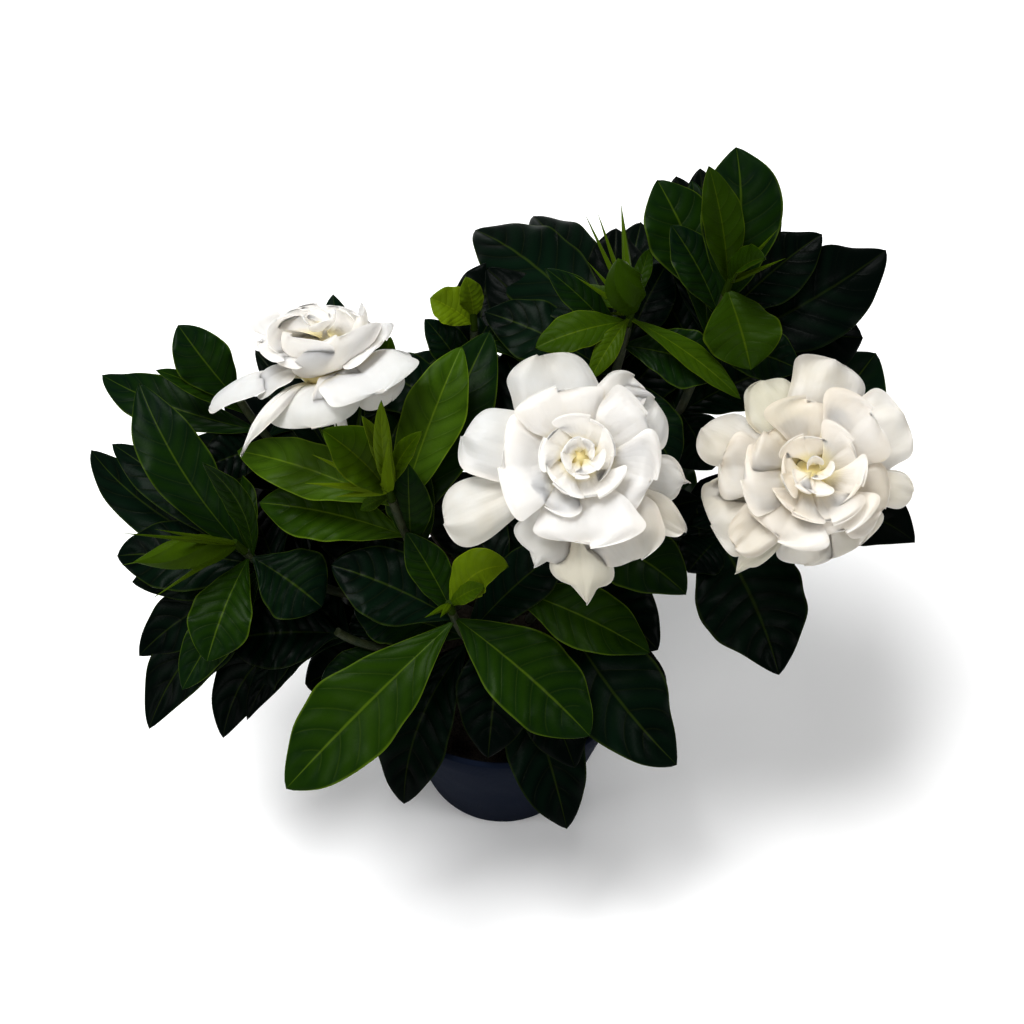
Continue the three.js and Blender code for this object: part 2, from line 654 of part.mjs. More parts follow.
    lobes: [{ seenAt: [779, 228], z: 242 }, { seenAt: [786, 258], z: 234 }],
  },
  {
    name: 'right',
    start: [46, 12, 112],
    bloom: {
      heartAt: [811, 474], z: 195, axis: [0.06, -0.36, 0.93],
      layers: {
        outer: [
          { seenAt: [701, 436], width: 32 }, { seenAt: [713, 526], width: 32 },
          { seenAt: [738, 573], width: 20, rise: -11 }, { seenAt: [696, 489], width: 16, rise: -11 },
          { seenAt: [802, 565], width: 26 }, { seenAt: [864, 544], width: 26 },
          { seenAt: [916, 493], width: 20, rise: -9 }, { seenAt: [903, 410], width: 34, rise: -4 },
          { seenAt: [833, 356], width: 34, rise: -4 }, { seenAt: [762, 378], width: 26, rise: -10 },
        ],
        second: [
          { seenAt: [721, 464], width: 24 }, { seenAt: [748, 550], width: 28 },
          { seenAt: [885, 508], width: 28 },
        ],
        mid: [
          { seenAt: [765, 432], width: 26 }, { seenAt: [742, 478], width: 28 },
          { seenAt: [780, 540], width: 32 }, { seenAt: [846, 532], width: 30 },
          { seenAt: [872, 410], width: 30 }, { seenAt: [806, 398], width: 30 },
        ],
        inner: [
          { seenAt: [793, 514], width: 18 }, { seenAt: [830, 522], width: 22 },
          { seenAt: [860, 488], width: 20 }, { seenAt: [852, 444], width: 18 },
          { seenAt: [806, 436], width: 18 }, { seenAt: [781, 472], width: 18 },
        ],
        heart: [
          { seenAt: [797, 480], width: 8 }, { seenAt: [815, 492], width: 8 },
          { seenAt: [826, 470], width: 8 }, { seenAt: [812, 456], width: 8 },
        ],
      },
    },
    leaves: [
      { seenAt: [876, 353], z: 168, width: 32, on: 0.8, full: 1.6 },
      { seenAt: [779, 675], z: 112, width: 41, on: 0.5, full: 1 },
      { seenAt: [915, 542], z: 148, width: 26, on: 0.8, bend: 0.25 },
      { seenAt: [696, 505], z: 140, width: 28, on: 0.4 },
      ...whorl(0.6, [65, 25], -5, 48, 22),
      ...whorl(0.3, [10, 90], -10, 50, 22),
    ],
  },
  {
    name: 'behind',
    start: [-8, 30, 118],
    top: seen([474, 330], 184),
    leaves: [
      { seenAt: [425, 319], z: 186, width: 14, on: 0.7 },
      ...whorl(0.9, [15, 60], -14, 44, 21),
      ...whorl(0.5, [50, 95, 150], -18, 50, 23),
    ],
    young: [
      { seenAt: [430, 298], z: 194, width: 15, on: 0.3 }, { seenAt: [466, 277], z: 206, width: 9, on: 0.7 },
    ],
  },
  {
    name: 'low_left',
    start: [-28, -12, 102],
    top: [-58, -14, 120],
    leaves: [
      { seenAt: [223, 738], z: 84, width: 23, on: 0.9, bend: -0.4 },
      { seenAt: [250, 722], z: 92, width: 12, on: 0.8 },
      { seenAt: [321, 680], z: 104, width: 12, on: 0.3 },
      { seenAt: [372, 600], z: 108, width: 24, on: 0.4 },
      { seenAt: [226, 640], z: 100, width: 28, on: 0.95 },
      { seenAt: [262, 560], z: 112, width: 26, on: 0.8 },
    ],
  },
  {
    name: 'back_left',
    start: [-26, 34, 114],
    top: [-44, 70, 140],
    leaves: [
      ...whorl(0.95, [50, 115, 180], -6, 42, 19),
      ...whorl(0.6, [85, 150, 220], -18, 50, 23),
      ...whorl(0.3, [110], -24, 54, 23),
    ],
    young: whorl(0.6, [60, 240], 60, 24, 9),
  },
  {
    name: 'back_right',
    start: [22, 42, 116],
    top: [32, 84, 154],
    leaves: [
      ...whorl(0.95, [0, 80, 150], 2, 44, 19),
      ...whorl(0.6, [30, 110], -14, 52, 23),
      ...whorl(0.3, [70], -24, 56, 23),
    ],
    young: whorl(0.6, [60, 200], 50, 20, 8),
  },
];

function stemPath(shoot, bloom) {
  const start = vec(shoot.start);
  const top = bloom ? calyxBase(bloom).addScaledVector(bloom.axis, -GAP) : new THREE.Vector3(...shoot.top);
  const reach = 0.35 * start.distanceTo(top);
  const finish = bloom ? bloom.axis : top.clone().sub(start).normalize().add(UP).normalize();
  const leaving = start.clone().addScaledVector(setOff(shoot), reach);
  const arriving = top.clone().addScaledVector(finish, -reach);
  return new THREE.CubicBezierCurve3(start, leaving, arriving, top);
}

function tipPath(stem) {
  const way = stem.getTangent(1);
  const foot = stem.getPoint(1).addScaledVector(way, GAP);
  return new THREE.LineCurve3(foot, foot.clone().addScaledVector(way, TIP.length));
}

function material(color, roughness) {
  return new THREE.MeshStandardMaterial({ color, roughness, metalness: 0 });
}
const FINISH = {
  pot: material('#2a3040', 0.45),
  soil: material('#3a2a1e', 0.95),
  wood: material('#5d4a34', 0.85),
  leaf: material('#1c3d12', 0.35),
  young: material('#7d9a24', 0.4),
  petal: material('#f7f2ea', 0.6),
};

const plant = new THREE.Group();

function addNode(name, parts, finish) {
  const mesh = wasm.Manifold.union(parts).getMesh();
  const geometry = new THREE.BufferGeometry();
  geometry.setAttribute('position', new THREE.BufferAttribute(mesh.vertProperties, 3));
  geometry.setIndex(new THREE.BufferAttribute(mesh.triVerts, 1));
  const node = new THREE.Mesh(geometry, finish);
  node.name = name;
  plant.add(node);
}

// Stems and blooms take their places first, then the leaves and the young growth, shoot by shoot.
addNode('pot', [take('pot', makePot())], FINISH.pot);
addNode('soil', [take('soil', makeSoil())], FINISH.soil);
addNode('woody_stems', [take('woody_stems', makeWood(SHOOTS))], FINISH.wood);

const grown = SHOOTS.map((shoot) => {
  const bloom = shoot.bloom ? bloomOf(shoot.bloom) : null;
  const stem = stemPath(shoot, bloom);
  const green = [take(`shoot_${shoot.name}`, rod(stem, STEM))];
  if (bloom) {
    const [petals, cup] = [`bloom_${shoot.name}`, `calyx_${shoot.name}`];
    addNode(petals, [take(petals, makeBloom(bloom, shoot.bloom.layers))], FINISH.petal);
    addNode(cup, [take(cup, makeCalyx(bloom))], FINISH.young);
  }
  const hasTip = shoot.young || shoot.bud || shoot.lobes;
  const tip = hasTip ? tipPath(stem) : null;
  const pale = hasTip ? [take(`tip_${shoot.name}`, rod(tip, TIP))] : [];
  return { shoot, stem, green, tip, pale };
});

grown.forEach(({ shoot, stem, green, tip, pale }) => {
  const [leafy, young] = [`shoot_${shoot.name}`, `tip_${shoot.name}`];
  if (shoot.bud) pale.push(...placeBud(young, tip, shoot.bud));
  (shoot.young ?? []).forEach((leaf) => pale.push(...placeLeaf(young, tip, leaf)));
  (shoot.lobes ?? []).forEach((spike) => pale.push(...placeLobe(young, tip, spike)));
  shoot.leaves.forEach((leaf) => green.push(...placeLeaf(leafy, stem, leaf)));
  addNode(leafy, green, FINISH.leaf);
  if (tip) addNode(young, pale, FINISH.young);
});

export default plant;
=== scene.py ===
# %% [markdown]
# # A potted gardenia
# This lesson dresses a packed model of a small gardenia in its nursery pot. The model holds the true sizes
# as plain faceted solids. Here each solid gets a finer piece of the same form, with veins, bark and colour.
# Most pieces are grown by Geometry Nodes, because a plant repeats a few rules: a stem that bends, a leaf that
# folds on its midrib, a petal that lies on a bowl. A sculpted plant would look as good, but could not be
# grown again at another size. The frame is loaded first.

# %% Load the frame
import math

import bmesh
import bpy
from mathutils import Matrix, Vector
from mathutils.kdtree import KDTree


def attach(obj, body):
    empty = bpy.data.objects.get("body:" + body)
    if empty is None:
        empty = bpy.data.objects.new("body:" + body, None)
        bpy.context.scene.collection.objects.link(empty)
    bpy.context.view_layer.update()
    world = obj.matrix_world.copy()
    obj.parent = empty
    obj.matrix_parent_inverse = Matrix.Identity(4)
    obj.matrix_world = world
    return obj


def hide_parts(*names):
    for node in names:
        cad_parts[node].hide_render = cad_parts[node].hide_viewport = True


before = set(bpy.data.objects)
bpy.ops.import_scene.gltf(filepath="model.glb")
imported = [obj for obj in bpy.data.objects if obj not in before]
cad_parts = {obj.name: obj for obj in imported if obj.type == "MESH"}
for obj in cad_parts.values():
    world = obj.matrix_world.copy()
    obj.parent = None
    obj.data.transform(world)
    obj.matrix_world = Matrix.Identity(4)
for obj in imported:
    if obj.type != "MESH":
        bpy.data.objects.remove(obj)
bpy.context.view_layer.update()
MM = 0.001
print("CAD nodes:", len(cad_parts))

# %% [markdown]
# ## The camera
# A camera is a point, a direction and a focal length. The plant was photographed from about 65 cm away,
# looking down at 56 degrees. With these three known, a place in the photograph and a height above the ground
# give one point in space. That is how the tips of the leaves and petals are placed further on. Lengths in
# this lesson are millimetres until a mesh is finished. The photograph has strong contrast, with dark leaves
# that are nearly black, so the film takes the plain view and a gamma under 1, which deepens the darks.

# %% Camera
EYE = Vector((3.7, -347, 689))
ELEVATION = math.radians(56)
FOCAL = 1865
IMAGE = 1024
FILM_GAMMA = 0.8
AHEAD = Vector((0, math.cos(ELEVATION), -math.sin(ELEVATION)))
ABOVE = Vector((0, math.sin(ELEVATION), math.cos(ELEVATION)))
UP = Vector((0, 0, 1))

lens = bpy.data.cameras.new("camera")
lens.sensor_width = 36
lens.lens = FOCAL / IMAGE * lens.sensor_width
lens.clip_start, lens.clip_end = 0.01, 20
camera = bpy.data.objects.new("camera", lens)
camera.location = EYE * MM
camera.rotation_euler = (math.pi / 2 - ELEVATION, 0, 0)
bpy.context.scene.collection.objects.link(camera)
bpy.context.scene.camera = camera
film = bpy.context.scene.view_settings
film.view_transform, film.gamma = "Standard", FILM_GAMMA


def sight(at):
    """The direction from the eye through a place in the photograph, one long along the view."""
    column, row = at
    right = Vector(((column - IMAGE / 2) / FOCAL, 0, 0))
    return right + AHEAD + ABOVE * ((IMAGE / 2 - row) / FOCAL)


def seen(at, z):
    """The point seen at a place in the photograph, at height z."""
    line = sight(at)
    return EYE + line * ((z - EYE.z) / line.z)


middle_of_view = [round(c, 1) for c in seen((IMAGE / 2, IMAGE / 2), 150)]
print("focal length", round(lens.lens, 1), "mm; the middle of the view, 150 mm up, is", middle_of_view)

# %% [markdown]
# ## Nodes written as sums
# Shader trees and geometry trees are both webs of nodes joined by sockets. Drawing them by hand is clear for
# five nodes and hopeless for fifty. The small class below wraps one socket, so that `1 - u * u` adds the Math
# nodes it needs. Where a side of the sum is a vector, it adds Vector Math instead. Any other node comes from
# one method, which takes the node's type, then its settings, then the values of its sockets.

# %% A socket that can be added and multiplied
class Wire:
    """One output socket of a node tree, or the bare tree where there is no socket yet."""

    def __init__(self, tree, socket=None):
        self.tree, self.socket = tree, socket

    def node(self, kind, settings=None, values=None, out=0):
        made = self.tree.nodes.new(kind)
        for name, value in (settings or {}).items():
            if name == "stops":
                ramp = made.color_ramp.elements
                while len(ramp) < len(value):
                    ramp.new(0.5)
                for stop, (place, colour) in zip(ramp, value):
                    stop.position, stop.color = place, (*colour, 1)
            else:
                setattr(made, name, value)
        for key, value in (values or {}).items():
            if isinstance(value, Wire):
                self.tree.links.new(value.socket, made.inputs[key])
            else:
                made.inputs[key].default_value = value
        return Wire(self.tree, made.outputs[out] if made.outputs else None)

    def other(self, name):
        """Another output of the node that this wire comes from."""
        return Wire(self.tree, self.socket.node.outputs[name])

    def join(self, operation, *values):
        """One Math or Vector Math node on these values, by whether a vector is among them."""
        vectors = [v.socket.type == "VECTOR" if isinstance(v, Wire) else isinstance(v, (tuple, Vector))
                   for v in values]
        if operation == "MULTIPLY" and any(vectors) and not all(vectors):
            vector, number = values if vectors[0] else values[::-1]
            return self.node("ShaderNodeVectorMath", {"operation": "SCALE"}, {0: vector, 3: number})
        kind = "ShaderNodeVectorMath" if any(vectors) else "ShaderNodeMath"
        out = "Value" if operation in ("DOT_PRODUCT", "LENGTH") else 0
        return self.node(kind, {"operation": operation}, dict(enumerate(values)), out)

    def __add__(self, x):
        return self.join("ADD", self, x)

    def __radd__(self, x):
        return self.join("ADD", x, self)

    def __sub__(self, x):
        return self.join("SUBTRACT", self, x)

    def __rsub__(self, x):
        return self.join("SUBTRACT", x, self)

    def __mul__(self, x):
        return self.join("MULTIPLY", self, x)

    def __rmul__(self, x):
        return self.join("MULTIPLY", x, self)

    def __truediv__(self, x):
        return self.join("DIVIDE", self, x)

    def __rtruediv__(self, x):
        return self.join("DIVIDE", x, self)

    def __pow__(self, x):
        return self.join("POWER", self, x)

    def __abs__(self):
        return self.join("ABSOLUTE", self)

    def sin(self):
        return self.join("SINE", self)

    def cos(self):
        return self.join("COSINE", self)

    def exp(self):
        return self.join("EXPONENT", self)

    def least(self, x):
        return self.join("MINIMUM", self, x)

    def most(self, x):
        return self.join("MAXIMUM", self, x)

    def above(self, x):
        return self.join("GREATER_THAN", self, x)

    def rounded(self):
        return self.join("ROUND", self)

    def angle_from(self, x):
        return self.join("ARCTAN2", self, x)

    def dot(self, x):
        return self.join("DOT_PRODUCT", self, x)

    def cross(self, x):
        return self.join("CROSS_PRODUCT", self, x)

    def unit(self):
        return self.join("NORMALIZE", self)

    def ease(self, low, high, start=0.0, end=1.0):
        """A smooth step from start, at low, to end, at high."""
        return self.node("ShaderNodeMapRange", {"interpolation_type": "SMOOTHSTEP"},
                         {0: self, 1: low, 2: high, 3: start, 4: end})

    def mix(self, a, b):
        """Colour a where this is 0, colour b where it is 1."""
        a, b = [(*c, 1) if isinstance(c, tuple) else c for c in (a, b)]
        return self.node("ShaderNodeMix", {"data_type": "RGBA"}, {0: self, 6: a, 7: b}, 2)

    def parts(self):
        first = self.node("ShaderNodeSeparateXYZ", None, {0: self})
        return first, first.other(1), first.other(2)

    def vector(self, x, y, z):
        return self.node("ShaderNodeCombineXYZ", None, {0: x, 1: y, 2: z})


print("methods of a wire:", sum(callable(method) for method in vars(Wire).values()))

# %% [markdown]
# ## Veins, once for shape and once for colour
# A gardenia leaf is quilted: nine or so pairs of side veins leave the midrib, curve towards the tip, and the
# blade swells between them. The same rule has to place the grooves in the mesh and the pale lines in the
# colour. So it is one function on wires, and both trees call it. It is 0 on a vein and 1 between two, and the
# veins fade at the stalk and towards the tip.

# %% The vein rule
VEIN_PAIRS = 9
VEIN_SWEEP = 0.17
VEIN_CURVE = 1.3


def between_veins(along, beside):
    start = along - VEIN_SWEEP * abs(beside) ** VEIN_CURVE
    fade = along.ease(0.8, 0.95).most(1 - along.ease(0.02, 0.12))
    return abs((start * (VEIN_PAIRS * math.pi)).sin()).most(fade)


print("side veins:", VEIN_PAIRS, "pairs")

# %% [markdown]
# ## Materials
# Each finish is a Principled shader whose colour, roughness and bump change over the surface. Leaves and
# petals carry attributes from their growth: `blade` holds the place along, the place across and which face it
# is, and `tone` how light the leaf is painted: its own tone together with painted light and shade.
# Patterns that follow the blade read those, and blotches or pores read Object coordinates, so that they stay
# put on the piece. A picture texture would fix one leaf for all.

# %% Material helpers
def begin(name):
    material = bpy.data.materials.new(name)
    material.use_nodes = True
    material.node_tree.nodes.clear()
    return material, Wire(material.node_tree)


def noise(wire, scale, detail=3.0, roughness=0.5):
    place = wire.node("ShaderNodeTexCoord", out="Object")
    return wire.node("ShaderNodeTexNoise", None,
                     {"Vector": place, "Scale": scale, "Detail": detail, "Roughness": roughness})


def surface(wire, colour, roughness, height, depth, **fixed):
    """Ends a material: what varies is linked, what is the same all over is set on its own socket."""
    bump = wire.node("ShaderNodeBump", None, {"Height": height, "Distance": depth, "Strength": 1.0})
    values = {"Base Color": colour, "Roughness": roughness, "Normal": bump}
    values.update({name.replace("_", " "): value for name, value in fixed.items()})
    shader = wire.node("ShaderNodeBsdfPrincipled", None, values)
    wire.node("ShaderNodeOutputMaterial", None, {"Surface": shader})


def blade_wires(wire):
    along, beside, face = wire.node("ShaderNodeAttribute", {"attribute_name": "blade"}, out="Vector").parts()
    tone = wire.node("ShaderNodeAttribute", {"attribute_name": "tone"}, out="Fac")
    return along, beside, face, tone


print("material helpers:", len((begin, noise, surface, blade_wires)))

# %% [markdown]
# ### Leaves
# An old gardenia leaf is leathery, dark and glossy, with a pale midrib and fine pale side veins. Its
# underside is duller and greyer. The gloss is uneven, so the roughness gets a cloudy pattern, and tiny cells
# between the veins break the highlight. The colour has painted shade beside the side veins, where the quilted
# blade dips, and is darker towards the tip. One ramp from near black to bright green serves every leaf, and a
# leaf's tone, its own tone with painted light and shade, picks its place on the ramp.

# %% Leaf material
CLOUDS, GRAIN, CELLS = 60, 420, 650.0
LEAF_BUMP = 0.00014
LEAF_SHADES = [
    (0.0, (0.0006, 0.0027, 0.0016)), (0.25, (0.0026, 0.0120, 0.0050)), (0.5, (0.0080, 0.0270, 0.0020)),
    (0.75, (0.0210, 0.0520, 0.0014)), (1.0, (0.0500, 0.0980, 0.0050))]
LEAF_VEIN = (0.150, 0.220, 0.015)
LEAF_UNDER = (0.008, 0.020, 0.005)


def leaf_finish(name, shades, vein, under, vein_strength, roughness, vein_shade_and_tip):
    material, wire = begin(name)
    along, beside, face, tone = blade_wires(wire)
    cloud = noise(wire, CLOUDS)
    grain = noise(wire, GRAIN, 2)
    across = abs(beside)
    flat = 1 - face.ease(1.2, 1.8)
    pillow = between_veins(along, beside)
    # Random clouds of tone, painted shade in the valleys beside the side veins, and a darker tip.
    patches_and_vein_shade = 0.22 * (cloud - 0.5) + vein_shade_and_tip * flat * (pillow - 0.6 - along.ease(0.55, 1.0))
    # The ramp is read at tone: leaves in the shade are painted nearly black, leaves in the light bright
    # green.
    shade = wire.node("ShaderNodeValToRGB", {"stops": shades}, {0: tone + patches_and_vein_shade})
    rib = (1 - across.ease(0.01, 0.045)) * flat
    side = (1 - pillow.ease(0.0, 0.22)) * (1 - across.ease(0.75, 0.97)) * flat
    rim = across.ease(0.93, 0.99) * flat
    rib_pale, side_pale, rim_pale = rib * (0.04 + 0.5 * tone), side * 0.13 * tone, rim * (0.65 * tone + 0.01)
    paler = rib_pale.most(side_pale).most(rim_pale) * vein_strength
    top = paler.mix(shade, vein)
    colour = face.ease(-0.2, 0.2).mix(under, top)
    place = wire.node("ShaderNodeTexCoord", out="Object")
    cells = wire.node("ShaderNodeTexVoronoi", {"feature": "DISTANCE_TO_EDGE"},
                      {"Vector": place, "Scale": CELLS})
    height = cells.ease(0.0, 0.2) * 0.06 + (pillow ** 0.5) * flat + 0.05 * grain
    roughness = roughness + 0.16 * cloud + 0.2 * (1 - face.ease(-0.2, 0.2))
    surface(wire, colour, roughness, height, LEAF_BUMP, Specular_IOR_Level=0.13, IOR=1.25)
    return material


leaf_material = leaf_finish("gardenia_leaf", LEAF_SHADES, LEAF_VEIN, LEAF_UNDER, 1.0, 0.24, 0.14)
print("leaf shades:", len(LEAF_SHADES))

# %% [markdown]
# ### Young growth
# New leaves, buds and calyx lobes are a fresh yellow green, thinner and a little softer in gloss. They take
# the same recipe with other colours, which is why the recipe is a function.

# %% Young material
YOUNG_SHADES = [(0.0, (0.006, 0.020, 0.001)), (0.5, (0.030, 0.062, 0.0012)), (1.0, (0.120, 0.175, 0.004))]
YOUNG_VEIN = (0.20, 0.25, 0.01)
YOUNG_UNDER = (0.030, 0.055, 0.003)
young_material = leaf_finish("gardenia_young", YOUNG_SHADES, YOUNG_VEIN, YOUNG_UNDER, 0.8, 0.30, 0.04)
print("young shades:", len(YOUNG_SHADES))

# %% [markdown]
# ### Petals
# A petal is waxy and almost white, with clouds of cream, and pale yellow at its claw. Light passes into it,
# so some subsurface scattering softens the shade. Faint veins run along it, and its edge is a little worn.
# The
# value tone tells the layers apart here: petals that lie low in a bloom, in the shade of the
# others, are painted creamier, and the lowest duller, as shade. The yellow at the claw is partly the petal's
# own colour and partly painted shade, for the claws lie deep in the bloom.

# %% Petal material
PETAL_WHITE = (0.81, 0.785, 0.745)
PETAL_CREAM = (0.67, 0.56, 0.40)
PETAL_SHADY = (0.54, 0.49, 0.35)
PETAL_CLAW = (0.72, 0.61, 0.30)
PETAL_WORN = (0.62, 0.50, 0.28)
PETAL_RIBS = 22
PETAL_BUMP = 0.00008

petal_material, wire = begin("gardenia_petal")
along, beside, face, tone = blade_wires(wire)
cloud = noise(wire, 45)
ribs = abs((beside * PETAL_RIBS + 4 * cloud + 2 * along).sin())
# Cream by clouds and by tone: the bloom's own cream, and painted shade on the low petals.
colour = (0.12 + 0.6 * tone + 0.7 * (cloud - 0.5)).ease(0.15, 0.85).mix(PETAL_WHITE, PETAL_CREAM)
# PETAL_SHADY is painted shade on the lowest petals.
colour = tone.ease(0.75, 0.95).mix(colour, PETAL_SHADY)
# The claw colour is partly the petal's own yellow and partly painted shade deep in the bloom.
colour = (1 - (along + 0.2 * (cloud - 0.5)).ease(0.04, 0.38)).mix(colour, PETAL_CLAW)
worn = abs(beside).ease(0.9, 1.0) * noise(wire, 140).ease(0.6, 0.75) * 0.5
colour = worn.mix(colour, PETAL_WORN)
surface(wire, colour, 0.42 + 0.2 * cloud, ribs * 0.25 + noise(wire, 260, 2), PETAL_BUMP,
        Subsurface_Weight=0.8, Subsurface_Scale=0.008, Subsurface_Radius=(1.0, 0.95, 0.88))
print("petal material:", len(petal_material.node_tree.nodes), "nodes")

# %% [markdown]
# ### Bark and soil
# The stems are green brown where young and corky grey where old. The mix is dark peat with bark chips and a
# few pale grains. All three are matt and rough, so one recipe of clouds and grains serves them, with colours
# and coarseness of their own. The stem and bark colours are darker than the real ones: painted shade, for
# they stand under the leaves.

# %% Stem, bark and soil materials
def rough_finish(name, low, high, scale, roughness, depth, worn=None):
    material, wire = begin(name)
    cloud, grain = noise(wire, scale, 5, 0.6), noise(wire, scale * 7, 3, 0.6)
    colour = (cloud * 0.7 + grain * 0.3).ease(0.35, 0.65).mix(low, high)
    if worn:
        colour = noise(wire, scale * 2.3, 6, 0.7).ease(0.62, 0.75).mix(colour, worn)
    surface(wire, colour, roughness + 0.2 * (cloud - 0.5), cloud + 0.5 * grain, depth)
    return material


# Stem and bark colours are darkened as painted shade under the leaves.
stem_material = rough_finish("gardenia_stem", (0.012, 0.024, 0.004), (0.035, 0.042, 0.010),
                             300.0, 0.55, 0.0003)
bark_material = rough_finish("gardenia_bark", (0.030, 0.020, 0.012), (0.085, 0.062, 0.040),
                             220.0, 0.85, 0.0008, worn=(0.12, 0.10, 0.075))
soil_material = rough_finish("potting_mix", (0.006, 0.004, 0.003), (0.030, 0.019, 0.011),
                             260.0, 0.95, 0.0012, worn=(0.12, 0.08, 0.05))

print("rough finishes:", len((stem_material, bark_material, soil_material)))

# %% [markdown]
# ### The pot's plastic
# The pot is moulded in dark slate plastic, with fine pores, the faint rings of its mould and soft scuffs, and
# it is paler at the top of its rim. Its gloss is kept low, so that the pale floor doesn't turn it grey.

# %% Pot material
SLATE, PALE_SCUFFS_AND_RIM = (0.0068, 0.0112, 0.0245), (0.015, 0.021, 0.036)
RIM_FROM, RIM_TO = 0.0885, 0.092
MOULD_RINGS = 3600
POT_BUMP = 0.00012

pot_material, wire = begin("pot_plastic")
height_here = wire.node("ShaderNodeTexCoord", out="Object").parts()[2]
cloud, pores = noise(wire, 22, 4), noise(wire, 900, 2)
# Soft scuffs by noise, and a paler band at the top of the rim by height.
scuffs_and_pale_rim = noise(wire, 70, 6, 0.75).ease(0.60, 0.78) * 0.35 + height_here.ease(RIM_FROM, RIM_TO) * 0.3
colour = scuffs_and_pale_rim.mix(SLATE, PALE_SCUFFS_AND_RIM)
rings = (height_here * MOULD_RINGS).sin() * 0.2
surface(wire, colour, 0.36 + 0.25 * cloud + 0.2 * scuffs_and_pale_rim, pores * 0.4 + rings, POT_BUMP,
        Specular_IOR_Level=0.15, IOR=1.08)
print("materials:", sorted(m.name for m in bpy.data.materials if m.name.startswith(("gard", "pot"))))

# %% [markdown]
# ## Trees that grow a shape
# A Geometry Nodes tree takes a mesh in and gives a mesh out, and its named inputs hold the sizes. A few steps
# come back in every tree: reading a value that a point carries, putting a base shape on every point, joining
# parts and giving them their finish. Each is one short function, so that a tree reads like its recipe.

# %% Helpers for trees
def begin_tree(name, inputs):
    """A tree with a mesh in and out, and named inputs of the given kinds."""
    tree = bpy.data.node_groups.new(name, "GeometryNodeTree")
    tree.interface.new_socket("Mesh", in_out="INPUT", socket_type="NodeSocketGeometry")
    for label, kind in inputs.items():
        tree.interface.new_socket(label, in_out="INPUT", socket_type="NodeSocket" + kind)
    tree.interface.new_socket("Mesh", in_out="OUTPUT", socket_type="NodeSocketGeometry")
    start = Wire(tree).node("NodeGroupInput")
    return tree, start


def end_tree(mesh):
    mesh.node("NodeGroupOutput", None, {0: mesh})


def named(wire, label, kind="FLOAT"):
    return wire.node("GeometryNodeInputNamedAttribute", {"data_type": kind}, {"Name": label})


def store(mesh, label, value, kind="FLOAT_VECTOR"):
    return mesh.node("GeometryNodeStoreNamedAttribute", {"data_type": kind, "domain": "POINT"},
                     {"Geometry": mesh, "Name": label, "Value": value})


def shared_grid(mesh, base):
    """Puts a base shape on every point and makes the copies real, each with its own point's attributes."""
    copies = mesh.node("GeometryNodeInstanceOnPoints", None, {"Points": mesh, "Instance": base})
    return mesh.node("GeometryNodeRealizeInstances", None, {0: copies})


def painted(mesh, material):
    return mesh.node("GeometryNodeSetMaterial", None, {"Geometry": mesh, "Material": material})


def joined(*parts):
    whole = parts[0].node("GeometryNodeJoinGeometry")
    for part in parts:
        whole.tree.links.new(part.socket, whole.socket.node.inputs[0])
    return whole


def flat_box(start):
    """Two sheets of faces that meet at the rim, with the rows and columns that the tree is given."""
    return start.node("GeometryNodeMeshCube", None, {
        "Size": (1, 1, 1), "Vertices X": start.other("Rows"), "Vertices Y": start.other("Columns"),
        "Vertices Z": 2})


print("tree helpers:", len((begin_tree, end_tree, named, store, shared_grid, painted, joined, flat_box)))

# %% [markdown]
# ## From a tree to a piece
# A tree works on an object through a modifier. The steps are always the same, so they are one function: make
# an object that carries the starting mesh, set the modifier's inputs by their identifiers, evaluate, and keep
# the result as a plain mesh at the origin. Doubles are merged, faces are turned outwards, and the attributes
# that only the growing needed are taken off. Then the piece takes its node's place.

# %% Helpers for pieces
KEPT_ATTRIBUTES = {"position", "blade", "tone", "material_index", "sharp_face", "sharp_edge", "UVMap"}
SHARP = 50


def in_place(name, mesh, node=None, sharp=SHARP):
    """Shows a finished mesh: outward faces, smooth but for its sharp edges, riding on the frame."""
    shape = bmesh.new()
    shape.from_mesh(mesh)
    bmesh.ops.remove_doubles(shape, verts=shape.verts, dist=1e-7)
    bmesh.ops.dissolve_degenerate(shape, edges=shape.edges, dist=1e-7)
    bmesh.ops.recalc_face_normals(shape, faces=shape.faces)
    shape.to_mesh(mesh)
    shape.free()
    for attribute in [a.name for a in mesh.attributes if a.name not in KEPT_ATTRIBUTES and a.name[0] != "."]:
        mesh.attributes.remove(mesh.attributes[attribute])
    mesh.shade_smooth()
    mesh.set_sharp_from_angle(angle=math.radians(sharp))
    piece = bpy.data.objects.new(name, mesh)
    bpy.context.scene.collection.objects.link(piece)
    if node:
        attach(piece, "root")
        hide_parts(node)
    return piece


def grow(name, start, tree, inputs, node=None, sharp=SHARP):
    """The plain piece that a tree grows from a starting mesh or curve."""
    seedling = bpy.data.objects.new(name + "_start", start)
    bpy.context.scene.collection.objects.link(seedling)
    modifier = seedling.modifiers.new("grow", "NODES")
    modifier.node_group = tree
    sockets = {s.name: s.identifier for s in tree.interface.items_tree if s.in_out == "INPUT"}
    for label, value in inputs.items():
        modifier[sockets[label]] = value
    bpy.context.view_layer.update()
    graph = bpy.context.evaluated_depsgraph_get()
    mesh = bpy.data.meshes.new_from_object(seedling.evaluated_get(graph))
    seedling.modifiers.remove(modifier)
    bpy.data.objects.remove(seedling)
    mesh.name = name
    return in_place(name, mesh, node, sharp)


